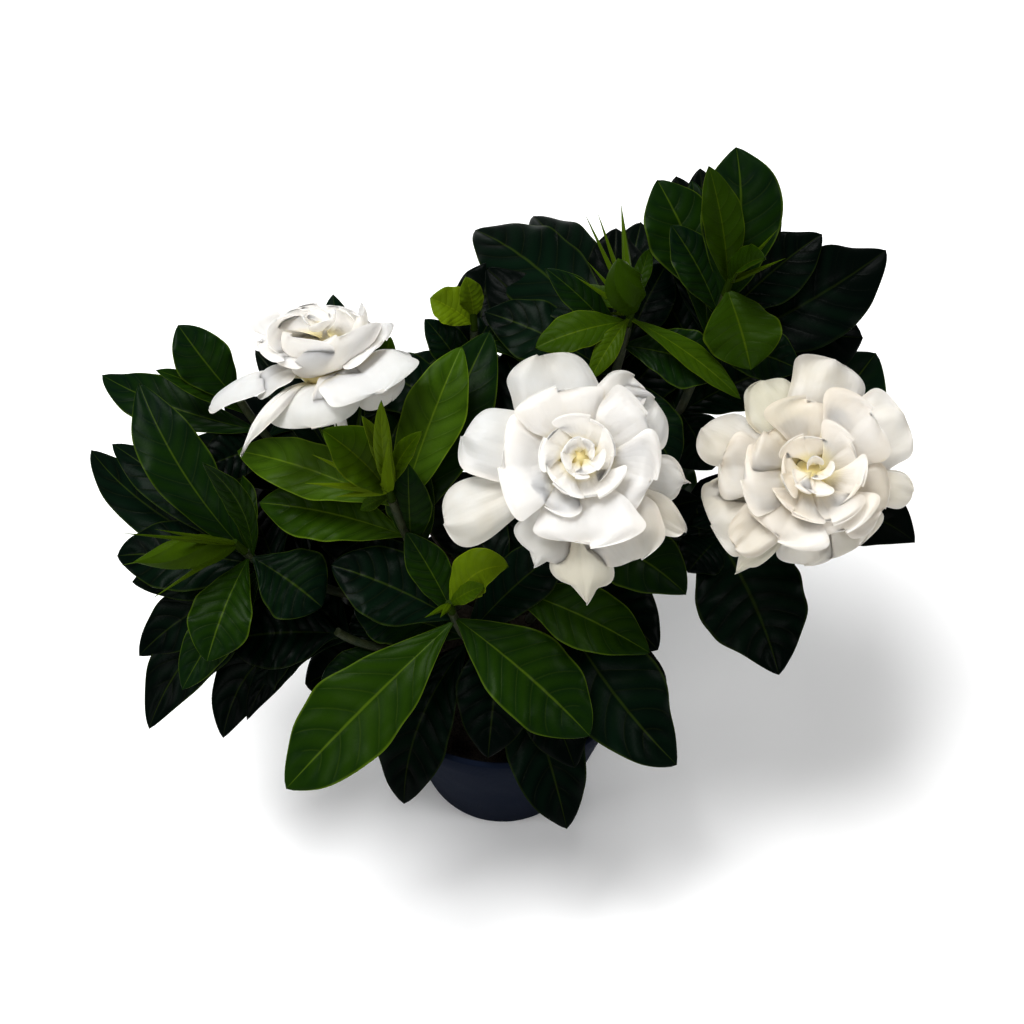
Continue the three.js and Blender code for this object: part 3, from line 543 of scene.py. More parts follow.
def points_mesh(name, rows):
    """A mesh of loose points at the origin, one for each row, with the row's values as attributes."""
    mesh = bpy.data.meshes.new(name)
    mesh.vertices.add(len(rows))
    for label, value in (rows[0] if rows else {}).items():
        if isinstance(value, (tuple, Vector)):
            layer = mesh.attributes.new(label, "FLOAT_VECTOR", "POINT")
            layer.data.foreach_set("vector", [x for row in rows for x in row[label]])
        else:
            layer = mesh.attributes.new(label, "FLOAT", "POINT")
            layer.data.foreach_set("value", [row[label] for row in rows])
    return mesh


print("attributes kept on the pieces:", sorted(KEPT_ATTRIBUTES))

# %% [markdown]
# ## The pot
# A nursery pot is a tapered cup with a stiffening collar. Any round thing is one profile turned round an
# axis. The Screw modifier would do it, but this tree does it openly: it rounds the corners of the profile,
# reads its points one by one, and lays a grid whose rows are those points and whose columns are the turn.
# The same tree turns the soil.

# %% The turning tree
turning, start = begin_tree("turned_shape", {"Sides": "Int", "Rounding": "Float", "Material": "Material"})
rounded = start.node("GeometryNodeFilletCurve", {"mode": "POLY"},
                     {"Curve": start, "Count": 3, "Radius": start.other("Rounding"), "Limit Radius": True})
profile = rounded.node("GeometryNodeCurveToPoints", {"mode": "EVALUATED"}, {"Curve": rounded})
count = profile.node("GeometryNodeAttributeDomainSize", {"component": "POINTCLOUD"}, {"Geometry": profile})
base = profile.node("GeometryNodeMeshGrid", None, {
    "Size X": 1.0, "Size Y": 1.0, "Vertices X": count, "Vertices Y": start.other("Sides") + 1})
spot = base.node("GeometryNodeInputPosition")
row = ((spot.parts()[0] + 0.5) * (count - 1)).rounded()
turn = spot.parts()[1] * (2 * math.pi)
place = base.node("GeometryNodeSampleIndex", {"data_type": "FLOAT_VECTOR", "domain": "POINT"},
                  {"Geometry": profile, "Value": spot, "Index": row})
radius, _, rise = place.parts()
turned = base.node("GeometryNodeSetPosition", None, {
    "Geometry": base, "Position": turn.vector(radius * turn.cos(), radius * turn.sin(), rise)})
merged = turned.node("GeometryNodeMergeByDistance", None, {"Geometry": turned, "Distance": 1e-6})
end_tree(painted(merged, start.other("Material")))
print("turning tree:", len(turning.nodes), "nodes")

# %% [markdown]
# ### The shell of the pot
# The real pot is moulded in one piece, a tapered wall with a collar that widens at the rim and a thin floor.
# Its profile is a list of corners, up the outside and down the inside, so the wall has its thickness at once.
# A solid cone could be hollowed out instead, but then the rim would need its own cut.

# %% Turn the pot
POT = {"height": 92, "base": 32.5, "chamfer": 1.2, "collar_bottom": 77, "body_top": 48.4, "collar": 50.2,
       "rim": 53, "wall": 1.8, "floor": 2.4, "drains": 6, "drain_ring": 23, "drain_radius": 3.2}
POT_SIDES = 144
POT_ROUNDING = 0.8


def profile_curve(name, points):
    curve = bpy.data.curves.new(name, "CURVE")
    curve.dimensions = "3D"
    spline = curve.splines.new("POLY")
    spline.points.add(len(points) - 1)
    for point, (radius, rise) in zip(spline.points, points):
        point.co = (radius * MM, 0, rise * MM, 1)
    return curve


pot_profile = [
    (0, 0), (POT["base"] - POT["chamfer"], 0), (POT["base"], POT["chamfer"]),
    (POT["body_top"], POT["collar_bottom"]), (POT["collar"], POT["collar_bottom"]),
    (POT["rim"], POT["height"] - POT["chamfer"]),
    (POT["rim"] - POT["chamfer"], POT["height"]), (POT["rim"] - POT["wall"], POT["height"]),
    (POT["collar"] - POT["wall"], POT["collar_bottom"] + POT["wall"]),
    (POT["body_top"] - POT["wall"], POT["collar_bottom"] - POT["wall"]),
    (POT["base"] - POT["wall"], POT["floor"]), (0, POT["floor"]),
]
shell = grow("pot_shell", profile_curve("pot_profile", pot_profile), turning,
             {"Sides": POT_SIDES, "Rounding": POT_ROUNDING * MM, "Material": pot_material})
print("corners of the pot's profile:", len(pot_profile))

# %% [markdown]
# ### Drain holes
# Water leaves the pot by a ring of holes in its floor. Holes could be left out of a grid of faces, but a cut
# is simpler: a second tree stands a ring of plugs in the floor and takes them away from the shell. The cut
# leaves new faces round each hole, so the plastic is set once more after it.

# %% Drain the pot
DRAIN_SIDES = 24

draining, start = begin_tree("drained_pot", {
    "Holes": "Int", "Ring": "Float", "Radius": "Float", "Depth": "Float", "Material": "Material"})
ring = start.node("GeometryNodeMeshCircle", None, {
    "Vertices": start.other("Holes"), "Radius": start.other("Ring")})
plug = start.node("GeometryNodeMeshCylinder", None, {
    "Vertices": DRAIN_SIDES, "Radius": start.other("Radius"), "Depth": start.other("Depth")})
plugs = shared_grid(ring, plug)
halfway = math.pi / POT["drains"]
plugs = plugs.node("GeometryNodeTransform", None, {"Geometry": plugs, "Rotation": (0, 0, halfway)})
cut = start.node("GeometryNodeMeshBoolean", {"operation": "DIFFERENCE", "solver": "EXACT"},
                 {0: start, 1: plugs})
end_tree(painted(cut, start.other("Material")))
pot = grow("potted_gardenia_pot", shell.data, draining, {
    "Holes": POT["drains"], "Ring": POT["drain_ring"] * MM, "Radius": POT["drain_radius"] * MM,
    "Depth": 4 * POT["floor"] * MM, "Material": pot_material}, "pot", sharp=40)
bpy.data.objects.remove(shell)
print("pot:", len(pot.data.polygons), "faces")

# %% [markdown]
# ## The potting mix
# Potting mix is a bed of lumps with chips of bark on it. This tree lifts the top of a plain bed by the same
# waves as in the packed model, adds finer grit, and strews small flat chips on the faces that look up. A
# bump in the material would show lumps from above, but not along the rim.

# %% The strewing tree
UPWARD = 0.8

strewing, start = begin_tree("strewn_soil", {
    "Top": "Float", "Lump": "Float", "Chips": "Float", "Chip": "Float", "Seed": "Int",
    "Material": "Material"})
spot = start.node("GeometryNodeInputPosition")
x, y, z = (spot * 1000.0).parts()
waves = (0.31 * x + 1.7).sin() * (0.27 * y).cos() + 0.5 * (0.53 * y + 0.4 * x).sin()
grit = start.node("ShaderNodeTexNoise", None, {"Vector": spot, "Scale": 330.0, "Detail": 4.0})
lift = start.other("Lump") * waves + start.other("Lump") * 1.6 * (grit - 0.5)
on_top = z.ease(start.other("Top") - 0.7, start.other("Top") - 0.2)
bumpy = start.node("GeometryNodeSetPosition", None,
                   {"Geometry": start, "Offset": lift.vector(0.0, 0.0, lift * on_top * MM)})
facing_up = bumpy.node("GeometryNodeInputNormal").parts()[2].above(UPWARD)
places = bumpy.node("GeometryNodeDistributePointsOnFaces", None, {
    "Mesh": bumpy, "Selection": facing_up, "Density": start.other("Chips"), "Seed": start.other("Seed")})
flake = bumpy.node("GeometryNodeMeshIcoSphere", None, {
    "Radius": start.other("Chip") * (0.5 * MM), "Subdivisions": 1})
spin = bumpy.node("FunctionNodeRandomValue", {"data_type": "FLOAT_VECTOR"},
                  {0: (-0.5, -0.5, 0.0), 1: (0.5, 0.5, 6.3), "Seed": 3})
size = bumpy.node("FunctionNodeRandomValue", {"data_type": "FLOAT_VECTOR"},
                  {0: (0.35, 0.25, 0.12), 1: (1.3, 0.8, 0.4), "Seed": 4})
chips = bumpy.node("GeometryNodeInstanceOnPoints", None,
                   {"Points": places, "Instance": flake, "Rotation": spin, "Scale": size})
chips = bumpy.node("GeometryNodeRealizeInstances", None, {0: chips})
end_tree(painted(joined(bumpy, chips), start.other("Material")))
print("strewing tree:", len(strewing.nodes), "nodes")

# %% [markdown]
# ### The bed
# The plain bed is turned from a profile, as the pot is. It fills the pot from its floor to a little under the
# rim, with rings on its top that are close enough together for the lumps.

# %% Grow the soil
SOIL = {"top": 80, "edge": 78.4, "radius": 46, "step": 2, "lump": 1.3, "inset": 2.4, "above_floor": 0.3}
SOIL_SIDES = 96
CHIPS = 420
CHIP = 2.6

soil_inner = POT["base"] - SOIL["inset"]
soil_bottom = POT["floor"] + SOIL["above_floor"]
soil_profile = [(0, soil_bottom), (soil_inner, soil_bottom),
                (POT["body_top"] - SOIL["inset"], POT["collar_bottom"] - POT["wall"]),
                (POT["collar"] - SOIL["inset"], SOIL["edge"])]
soil_profile += [(radius, SOIL["top"]) for radius in range(SOIL["radius"], -1, -SOIL["step"])]
plain_soil = grow("plain_soil", profile_curve("soil_profile", soil_profile), turning,
                  {"Sides": SOIL_SIDES, "Rounding": 0.3 * MM, "Material": soil_material})
chips_per_area = CHIPS / (math.pi * (SOIL["radius"] * MM) ** 2)
soil = grow("potting_mix_bed", plain_soil.data, strewing, {
    "Top": SOIL["top"], "Lump": SOIL["lump"], "Chips": chips_per_area, "Chip": CHIP, "Seed": 11,
    "Material": soil_material}, "soil")
bpy.data.objects.remove(plain_soil)
print("soil:", len(soil.data.polygons), "faces")

# %% [markdown]
# ## Where everything grows
# The plant is listed shoot by shoot. A leaf that the photograph shows has the place of its tip, a height and
# a width. A whorl has turns round the stem and a pitch, for the leaves that the photograph hides. A seeded
# draw keeps the whorls uneven and the same at each run. Petals are listed by layer, from the outermost in.
# Scattering leaves over a crown would be quicker, but a plant that is to be recognised needs its own leaves.

# %% Short words for the list
def leaf(at, z, width, **more):
    return {"at": at, "z": z, "width": width, **more}


def lobe(at, z, radius=1.1, on=0.8, **more):
    return {"at": at, "z": z, "radius": radius, "on": on, **more}


def petal(at, width, **more):
    return {"at": at, "width": width, **more}


DRAW_TIMES, DRAW_OVER = 16807, 2147483647
draw_state = 20617


def uneven():
    """A seeded draw between -1 and 1."""
    global draw_state
    draw_state = (draw_state * DRAW_TIMES) % DRAW_OVER
    return 2 * (draw_state / DRAW_OVER) - 1


def whorl(on, turns, pitch, length, width):
    return [{"on": on + 0.03 * uneven(), "turn": turn + 10 * uneven(), "pitch": pitch + 8 * uneven(),
             "length": length * (1 + 0.08 * uneven()), "width": width * (1 + 0.08 * uneven())}
            for turn in turns]


print("a whorl draws five numbers for each leaf")

# %% [markdown]
# ### The front and the left
# Five shoots carry the leaves nearest to the eye. A leaf's `on` says how far up the stem it stands, `arch`
# lifts its midrib, `bend` swings it to one side, `full` moves its widest part towards the tip and `fold`
# closes it. Its `tone` runs from 0, nearly black, to 1, bright green. It is painted light and
# shade as well as the leaf's own tone: low for a leaf in the shade, high for one in the light. Young leaves
# and buds go on the tip.

# %% Shoots at the front and the left
SHOOTS = [
    {
        "name": "front",
        "start": (-7, -12, 106),
        "top": seen((452, 612), 145),
        "leaves": [
            leaf((286, 789), 105, 32, on=0.85, arch=0.12, bend=0.03, full=1.35, tone=0.64),
            leaf((590, 736), 115, 31, on=0.9, arch=0.12, tone=0.55),
            leaf((404, 804), 78, 25, on=0.4, arch=0.2, bend=-0.12, tone=0.1),
            leaf((331, 565), 152, 27, on=0.85, tone=0.2),
            leaf((406, 532), 182, 14, on=0.9, facing=(0, -0.6, 0.8), tone=0.5),
            *whorl(0.5, [20, 150], -5, 48, 22),
        ],
        "young": [
            leaf((508, 566), 172, 16, on=0.4, bend=0.25, tone=0.9),
            leaf((485, 586), 165, 7, on=0.7, tone=0.55),
        ],
        "lobes": [lobe((424, 618), 158), lobe((440, 618), 160)],
    },
    {
        "name": "mid_left",
        "start": (-16, 0, 114),
        "top": seen((392, 500), 180),
        "leaves": [
            leaf((237, 451), 172, 20, on=0.95, tone=1.0),
            leaf((259, 503), 160, 22, on=0.7, tone=0.78),
            leaf((408, 464), 205, 15, on=0.62, tone=0.5),
            leaf((418, 450), 190, 12, on=0.5, tone=0.45),
            leaf((332, 566), 112, 27, on=0.2, tone=0.08),
            leaf((462, 346), 205, 21, on=0.85, tone=0.95),
            leaf((490, 331), 196, 27, on=0.7, tone=0.45),
        ],
        "young": [
            leaf((322, 430), 212, 18, fold=0.5, on=0.4, tone=0.55),
            leaf((362, 416), 222, 6, on=0.8, tone=0.75),
            leaf((381, 401), 226, 6, on=0.9, tone=0.8),
            leaf((422, 431), 214, 7, on=0.7, tone=0.6),
            leaf((360, 510), 176, 5, on=0.3, tone=0.4),
        ],
        "lobes": [
            lobe((311, 454), 204, radius=1.8, tone=0.9), lobe((304, 483), 198, radius=1.7, tone=0.9),
            lobe((335, 497), 190, radius=1.6, tone=0.9),
            lobe((389, 436), 216, radius=2.2, tone=0.85),
        ],
    },
    {
        "name": "under",
        "start": (1, -9, 104),
        "top": seen((505, 580), 142),
        "leaves": [
            leaf((650, 653), 148, 22, on=0.9, tone=0.6),
            leaf((567, 829), 58, 28, on=0.35, arch=0.2, tone=0.1),
            leaf((488, 758), 88, 26, on=0.6, arch=0.2, tone=0.06),
            leaf((575, 768), 90, 24, on=0.5, arch=0.2, tone=0.06),
            leaf((438, 474), 146, 28, on=0.9, tone=0.08),
            leaf((540, 500), 148, 24, on=0.8, tone=0.08),
        ],
    },
    {
        "name": "left",
        "start": (-46, 4, 109),
        "top": seen((245, 552), 148),
        "leaves": [
            leaf((139, 383), 186, 22, on=0.95, bend=0.14, tone=0.4),
            leaf((112, 444), 152, 18, on=0.85, tone=0.25),
            leaf((91, 450), 128, 20, on=0.6, bend=0.2, tone=0.2),
            leaf((154, 462), 182, 14, on=0.9, tone=0.6),
            leaf((203, 464), 190, 9, on=0.92, facing=(0.2, -0.9, 0.4), tone=0.55),
            leaf((220, 475), 190, 17, on=0.95, facing=(0.2, -0.9, 0.4), bend=-0.1, full=1.5, tone=0.55),
            leaf((117, 556), 132, 27, on=0.8, tone=0.2),
            leaf((132, 582), 118, 19, on=0.6, tone=0.2),
            leaf((182, 690), 118, 17, on=0.8, tone=0.45),
            leaf((139, 656), 104, 22, on=0.6, bend=-0.1, tone=0.12),
            leaf((149, 729), 90, 24, on=0.4, bend=-0.26, tone=0.12),
            leaf((207, 662), 134, 22, on=0.95, arch=0.2, full=1.5, tone=0.56),
            leaf((322, 607), 136, 27, on=0.95, full=1.5, tone=0.28),
        ],
        "bud": leaf((133, 562), 170, 11, tone=0.55),
        "lobes": [
            lobe((120, 533), 176), lobe((154, 529), 180), lobe((117, 566), 160),
            lobe((150, 600), 150),
        ],
    },
    {
        "name": "upper_left",
        "start": (-44, 26, 114),
        "top": seen((240, 400), 172),
        "leaves": [
            leaf((178, 325), 192, 19, on=0.95, bend=0.1, full=1.5, tone=0.45),
            leaf((156, 370), 184, 8, on=0.9, tone=0.6),
            leaf((102, 375), 160, 18, on=0.8, bend=0.18, tone=0.4),
            leaf((262, 540), 120, 30, on=0.3, bend=-0.1, tone=0.05),
            leaf((200, 470), 150, 18, on=0.7, tone=0.08),
            leaf((290, 462), 150, 18, on=0.7, tone=0.08),
            *whorl(0.75, [40], -5, 48, 20),
            *whorl(0.4, [70, 165], -8, 54, 22),
        ],
    },
]
print("shoots so far:", len(SHOOTS))

# %% [markdown]
# ### Two blooms
# A bloom has the place and height of its heart, the axis it faces along, and its petals by layer. A petal's
# `rise` lifts its end along that axis, `cup` stands it up like the side of a bowl and `close` leans it in.
# A high `blunt` makes its end square, `cusp` draws the end out to a point and `skew` swings it to one side.

# %% Shoots of the left and the middle bloom
SHOOTS += [
    {
        "name": "left_bloom",
        "start": (-34, 20, 116),
        "bloom": {
            "heart_at": (326, 348), "z": 206, "axis": (-0.12, 0.42, 0.9),
            "layers": {
                "outer": [
                    petal((207, 404), 22, rise=-12, tone=0.3, blunt=4),
                    petal((239, 450), 8, rise=-15, cusp=0.8, tone=0.5),
                    petal((310, 423), 30, rise=-12, tone=0.3, blunt=7, frill=1.5),
                    petal((406, 370), 28, rise=-8, blunt=3.5),
                    petal((392, 394), 20, rise=-12, tone=0.5), petal((342, 314), 26, rise=-12),
                    petal((276, 330), 22, rise=-12),
                ],
                "second": [
                    petal((258, 394), 22, rise=-9), petal((348, 402), 20, rise=-9),
                    petal((384, 388), 38, rise=-4, tone=0.2, blunt=3.5),
                ],
                "mid": [
                    petal((254, 335), 30, rise=9, cusp=0.4, curl=-1, roll=1.4),
                    petal((279, 315), 24, rise=6, cup=6, close=0.1, blunt=3),
                    petal((318, 307), 26, rise=5, cup=6, close=0.1, blunt=3),
                    petal((353, 315), 24, rise=5, cup=6, close=0.1, blunt=3),
                    petal((384, 334), 32, rise=6, blunt=3.5, curl=-1, roll=1.2),
                    petal((272, 352), 26, rise=4, curl=-1, roll=1.2),
                ],
                "inner": [
                    petal((276, 328), 28, rise=7, cup=8, close=0.3, blunt=3),
                    petal((300, 312), 20, rise=8, cup=5, close=0.2, blunt=3),
                    petal((341, 311), 20, rise=8, cup=5, close=0.2, blunt=3),
                    petal((366, 326), 28, rise=7, cup=8, close=0.3, blunt=3),
                    petal((288, 348), 34, rise=6, cup=9, close=0.32, blunt=3),
                    petal((342, 352), 36, rise=5, cup=10, close=0.34, blunt=3),
                ],
                "heart": [
                    petal((304, 316), 12, rise=12), petal((335, 314), 12, rise=12),
                    petal((320, 323), 12, rise=12), petal((320, 309), 12, rise=12),
                ],
            },
        },
        "leaves": [
            leaf((333, 294), 178, 17, on=0.8, tone=0.3),
            leaf((255, 350), 172, 14, on=0.7, tone=0.15),
            leaf((340, 450), 150, 16, on=0.5, tone=0.08),
            *whorl(0.6, [80, 45], -5, 44, 20),
            *whorl(0.3, [75], -8, 48, 22),
        ],
    },
    {
        "name": "centre",
        "start": (10, -3, 110),
        "bloom": {
            "heart_at": (580, 460), "z": 213, "axis": (0.02, -0.42, 0.9),
            "layers": {
                "outer": [
                    petal((443, 523), 20, rise=-8, tone=0.7, blunt=8, frill=1.6),
                    petal((531, 566), 20, rise=-7, cusp=0.8, skew=0.05),
                    petal((582, 605), 20, rise=-9, cusp=0.9, skew=0.08, tone=0.85),
                    petal((687, 532), 11, rise=-9, tone=0.8),
                    petal((692, 482), 15, cusp=0.5), petal((656, 396), 26, rise=-4, blunt=4),
                    petal((543, 351), 33, rise=-4, blunt=2.2, skew=0.06),
                ],
                "second": [
                    petal((463, 436), 28, blunt=2.6), petal((641, 558), 27, rise=-5, tone=0.6),
                    petal((634, 376), 18, rise=-6),
                ],
                "mid": [
                    petal((500, 468), 38), petal((590, 546), 38),
                    petal((655, 480), 30), petal((646, 415), 28),
                    petal((556, 388), 33), petal((545, 506), 22, rise=3),
                ],
                "inner": [
                    petal((546, 438), 22, rise=6, cup=3, close=0.05), petal((554, 482), 20, rise=7),
                    petal((598, 496), 25, rise=6, cup=3, close=0.05), petal((614, 456), 19, rise=8),
                    petal((590, 418), 24, rise=6, cup=3.5, close=0.05),
                ],
                "heart": [
                    petal((562, 452), 14, rise=10), petal((572, 476), 11, rise=9, skew=0.1),
                    petal((597, 470), 15, rise=11, close=0.15), petal((594, 446), 10, rise=12),
                    petal((576, 438), 14, rise=11, skew=-0.1),
                ],
            },
        },
        "leaves": [
            leaf((677, 765), 100, 34, on=0.3, arch=0.16, bend=-0.15, full=1.2, tone=0.22),
            leaf((686, 594), 160, 25, on=0.6, bend=0.1, tone=0.45),
            leaf((658, 650), 118, 27, on=0.35, bend=0.08, tone=0.08),
            leaf((503, 352), 172, 24, on=0.7, tone=0.1),
            *whorl(0.5, [100, 30], 5, 50, 22),
        ],
    },
]
print("shoots so far:", len(SHOOTS))

# %% [markdown]
# ### The top of the crown
# Two shoots stand highest, both with young leaves at their ends. One of them ends in a bud among slender
# green lobes, which stand up from the leaves like spikes.

# %% Shoots at the top
SHOOTS += [
    {
        "name": "top",
        "start": (20, 30, 120),
        "top": seen((628, 325), 205),
        "leaves": [
            leaf((475, 230), 200, 31, on=0.85, bend=-0.02, full=1.25, tone=0.17),
            leaf((533, 216), 206, 24, on=0.8, bend=-0.03, tone=0.15),
            leaf((484, 312), 186, 23, on=0.75, tone=0.2),
            leaf((545, 268), 226, 11, on=0.9, tone=0.4),
            leaf((641, 222), 206, 24, on=0.6, tone=0.15),
            leaf((724, 374), 192, 21, on=0.9, tone=0.4),
            leaf((675, 470), 168, 21, on=0.75, tone=0.3),
            *whorl(0.45, [100, 50], -8, 50, 24),
        ],
        "young": [
            leaf((535, 348), 204, 14, on=0.2, tone=0.5), leaf((590, 380), 198, 8, on=0.5, tone=0.6),
            leaf((741, 399), 190, 9, on=0.4, tone=0.5), leaf((573, 289), 222, 8, on=0.6, tone=0.4),
            leaf((650, 248), 240, 6, on=0.8, tone=0.2),
        ],
        "bud": leaf((618, 258), 236, 13, tone=0.45),
        "lobes": [
            lobe((584, 212), 250), lobe((597, 211), 252),
            lobe((621, 203), 252, radius=1.8), lobe((587, 261), 236),
            lobe((573, 275), 230), lobe((606, 314), 216),
        ],
    },
    {
        "name": "top_right",
        "start": (40, 34, 118),
        "top": seen((725, 295), 210),
        "leaves": [
            leaf((657, 180), 230, 26, on=0.9, full=1.5, tone=0.5),
            leaf((671, 225), 226, 16, on=0.92, tone=0.4),
            leaf((650, 275), 190, 24, on=0.7, tone=0.12),
            leaf((692, 180), 226, 16, on=0.8, tone=0.4),
            leaf((736, 147), 245, 28, on=0.92, bend=-0.14, full=1.5, tone=0.45),
            leaf((822, 234), 206, 22, on=0.85, tone=0.1),
            leaf((886, 250), 196, 33, on=0.75, bend=-0.15, full=1.0, tone=0.02),
            leaf((800, 370), 186, 20, on=0.8, tone=0.3),
            leaf((712, 470), 152, 26, on=0.5, tone=0.08),
            *whorl(0.5, [100, 40], -8, 50, 24),
        ],
        "young": [
            leaf((709, 166), 252, 14, on=0.5, fold=0.3, tone=0.3),
            leaf((751, 370), 200, 26, on=0.3, tone=0.3),
            leaf((765, 258), 232, 12, on=0.8, fold=0.5, tone=0.2),
        ],
        "lobes": [lobe((779, 228), 242), lobe((786, 258), 234)],
    },
]
print("shoots so far:", len(SHOOTS))

# %% [markdown]
# ### The right bloom
# The oldest bloom is creamier than the others, so its petals have higher values of tone. Its
# lowest petals go on to the painted shade colour.

# %% The shoot of the right bloom
SHOOTS += [
    {
        "name": "right",
        "start": (46, 12, 112),
        "bloom": {
            "heart_at": (811, 474), "z": 195, "axis": (0.06, -0.36, 0.93),
            "layers": {
                "outer": [
                    petal((702, 426), 20, tone=0.75, blunt=3.5),
                    petal((711, 524), 28, tone=0.8, blunt=7, frill=1.6),
                    petal((736, 573), 13, rise=-11, cusp=0.9, tone=0.9),
                    petal((702, 494), 13, rise=-11, tone=0.9),
                    petal((806, 565), 19, tone=0.8), petal((862, 545), 24, tone=0.8),
                    petal((916, 490), 14, rise=-9, tone=0.8), petal((906, 412), 28, rise=-4, tone=0.7),
                    petal((836, 357), 28, rise=-4, tone=0.65), petal((762, 378), 22, rise=-10, tone=1.0),
                ],
                "second": [
                    petal((721, 464), 24, tone=0.6), petal((736, 548), 18, tone=0.75),
                    petal((885, 508), 26, tone=0.65),
                ],
                "mid": [
                    petal((765, 432), 26, tone=0.65), petal((742, 480), 28, tone=0.65),
                    petal((778, 540), 30, tone=0.65), petal((846, 532), 30, tone=0.65),
                    petal((872, 410), 30, tone=0.65), petal((806, 398), 30, tone=0.65),
                ],
                "inner": [
                    petal((793, 512), 20, tone=0.6, cup=4),
                    petal((832, 522), 26, rise=6, tone=0.6, cup=3, close=0.05),
                    petal((860, 486), 20, rise=8, tone=0.6),
                    petal((852, 442), 23, rise=6, tone=0.6, cup=3.5, close=0.05),
                    petal((804, 436), 22, rise=6, tone=0.6, cup=3.5, close=0.05),
                    petal((782, 474), 18, rise=8, tone=0.6),
                ],
                "heart": [
                    petal((796, 484), 12, rise=10, tone=0.5), petal((816, 494), 13, rise=11, tone=0.5),
                    petal((829, 476), 13, rise=12, tone=0.5), petal((814, 456), 12, rise=11, tone=0.5),
                ],
            },
        },
        "leaves": [
            leaf((876, 353), 168, 32, on=0.8, full=1.6, tone=0.35),
            leaf((779, 675), 112, 40, on=0.5, bend=0.04, full=0.78, tone=0.1),
            leaf((915, 542), 148, 26, on=0.8, bend=0.25, tone=0.03),
            leaf((696, 505), 140, 28, on=0.4, tone=0.08),
            *whorl(0.6, [65, 25], -5, 48, 22),
            *whorl(0.3, [10, 90], -10, 50, 22),
        ],
    },
]
print("shoots so far:", len(SHOOTS))

# %% [markdown]
# ### Behind and low down
# The photograph hides most of these four shoots, so whorls fill them. They give the crown its depth from the
# sides and from behind.

# %% Shoots behind and low down
SHOOTS += [
    {
        "name": "behind",
        "start": (-8, 30, 118),
        "top": seen((474, 330), 184),
        "leaves": [
            leaf((425, 319), 186, 14, on=0.7, tone=0.3),
            *whorl(0.9, [15, 60], -14, 44, 21),
            *whorl(0.5, [50, 95, 150], -18, 50, 23),
        ],
        "young": [
            leaf((430, 298), 194, 15, on=0.3, tone=0.9, fold=0.5),
            leaf((466, 277), 206, 9, on=0.7, tone=0.75),
        ],
    },
    {
        "name": "low_left",
        "start": (-28, -12, 102),
        "top": Vector((-58, -14, 120)),
        "leaves": [
            leaf((223, 738), 84, 23, on=0.9, bend=-0.4, tone=0.08),
            leaf((247, 720), 92, 11, on=0.8, bend=-0.3, tone=0.08),
            leaf((321, 680), 104, 12, on=0.3, tone=0.35),
            leaf((372, 600), 108, 24, on=0.4, tone=0.08),
            leaf((226, 640), 100, 28, on=0.95, tone=0.06),
            leaf((262, 560), 112, 26, on=0.8, tone=0.06),
        ],
    },
    {
        "name": "back_left",
        "start": (-26, 34, 114),
        "top": Vector((-44, 70, 140)),
        "leaves": [
            *whorl(0.95, [50, 115, 180], -6, 42, 19),
            *whorl(0.6, [85, 150, 220], -18, 50, 23),
            *whorl(0.3, [110], -24, 54, 23),
        ],
        "young": whorl(0.6, [60, 240], 60, 24, 9),
    },
    {
        "name": "back_right",
        "start": (22, 42, 116),
        "top": Vector((32, 84, 154)),
        "leaves": [
            *whorl(0.95, [0, 80, 150], 2, 44, 19),
            *whorl(0.6, [30, 110], -14, 52, 23),
            *whorl(0.3, [70], -24, 56, 23),
        ],
        "young": whorl(0.6, [60, 200], 50, 20, 8),
    },
]
print("all shoots:", len(SHOOTS), "with leaves:", sum(len(shoot["leaves"]) for shoot in SHOOTS))

# %% [markdown]
# ## Stems
# A stem is a smooth curve with four handles: it leaves the wood outwards and up, and arrives along its bloom
# or straight up. Blender has the same curve as a Bezier segment. The points on it are also needed in Python,
# because each leaf is rooted on it.

# %% Curves
GAP = 0.3
FORK = Vector((0, 5, 90))
COROLLA = {"depth": 18, "tube": 20, "radius": 2.5, "core": 12}
CALYX = {"length": 9, "radius": 4.2, "lobes": 6, "lobe_length": 19, "flare": 6}
TIP_LENGTH = 7
STEM_LIFT = 0.35
STEM_REACH = 0.35


def on_curve(handles, t):
    a, b, c, d = handles
    s = 1 - t
    return a * s ** 3 + b * (3 * s * s * t) + c * (3 * s * t * t) + d * t ** 3


def set_off(shoot):
    way = Vector(shoot["start"]) - FORK
    return (way + UP * STEM_LIFT * way.length).normalized()


def branch_handles(shoot):
    way = set_off(shoot)
    end = Vector(shoot["start"]) - way * GAP
    reach = STEM_REACH * (end - FORK).length
    return [FORK, FORK + UP * reach, end - way * reach, end]


def bloom_of(shoot):
    plan = shoot["bloom"]
    return seen(plan["heart_at"], plan["z"]), Vector(plan["axis"]).normalized()


def calyx_base(heart, axis):
    return heart - axis * (COROLLA["depth"] + COROLLA["tube"] + CALYX["length"] + GAP)


def stem_handles(shoot):
    start = Vector(shoot["start"])
    if "bloom" in shoot:
        heart, axis = bloom_of(shoot)
        top, finish = calyx_base(heart, axis) - axis * GAP, axis
    else:
        top = shoot["top"]
        finish = ((top - start).normalized() + UP).normalized()
    reach = STEM_REACH * (start - top).length
    return [start, start + set_off(shoot) * reach, top - finish * reach, top]


def tip_handles(stem):
    way = (stem[3] - stem[2]).normalized()
    foot = stem[3] + way * GAP
    return [foot + way * (TIP_LENGTH * k / 3) for k in range(4)]


stem_ends = [(stem_handles(shoot)[0], stem_handles(shoot)[3]) for shoot in SHOOTS]
print("longest stem:", round(max((top - foot).length for foot, top in stem_ends)), "mm")

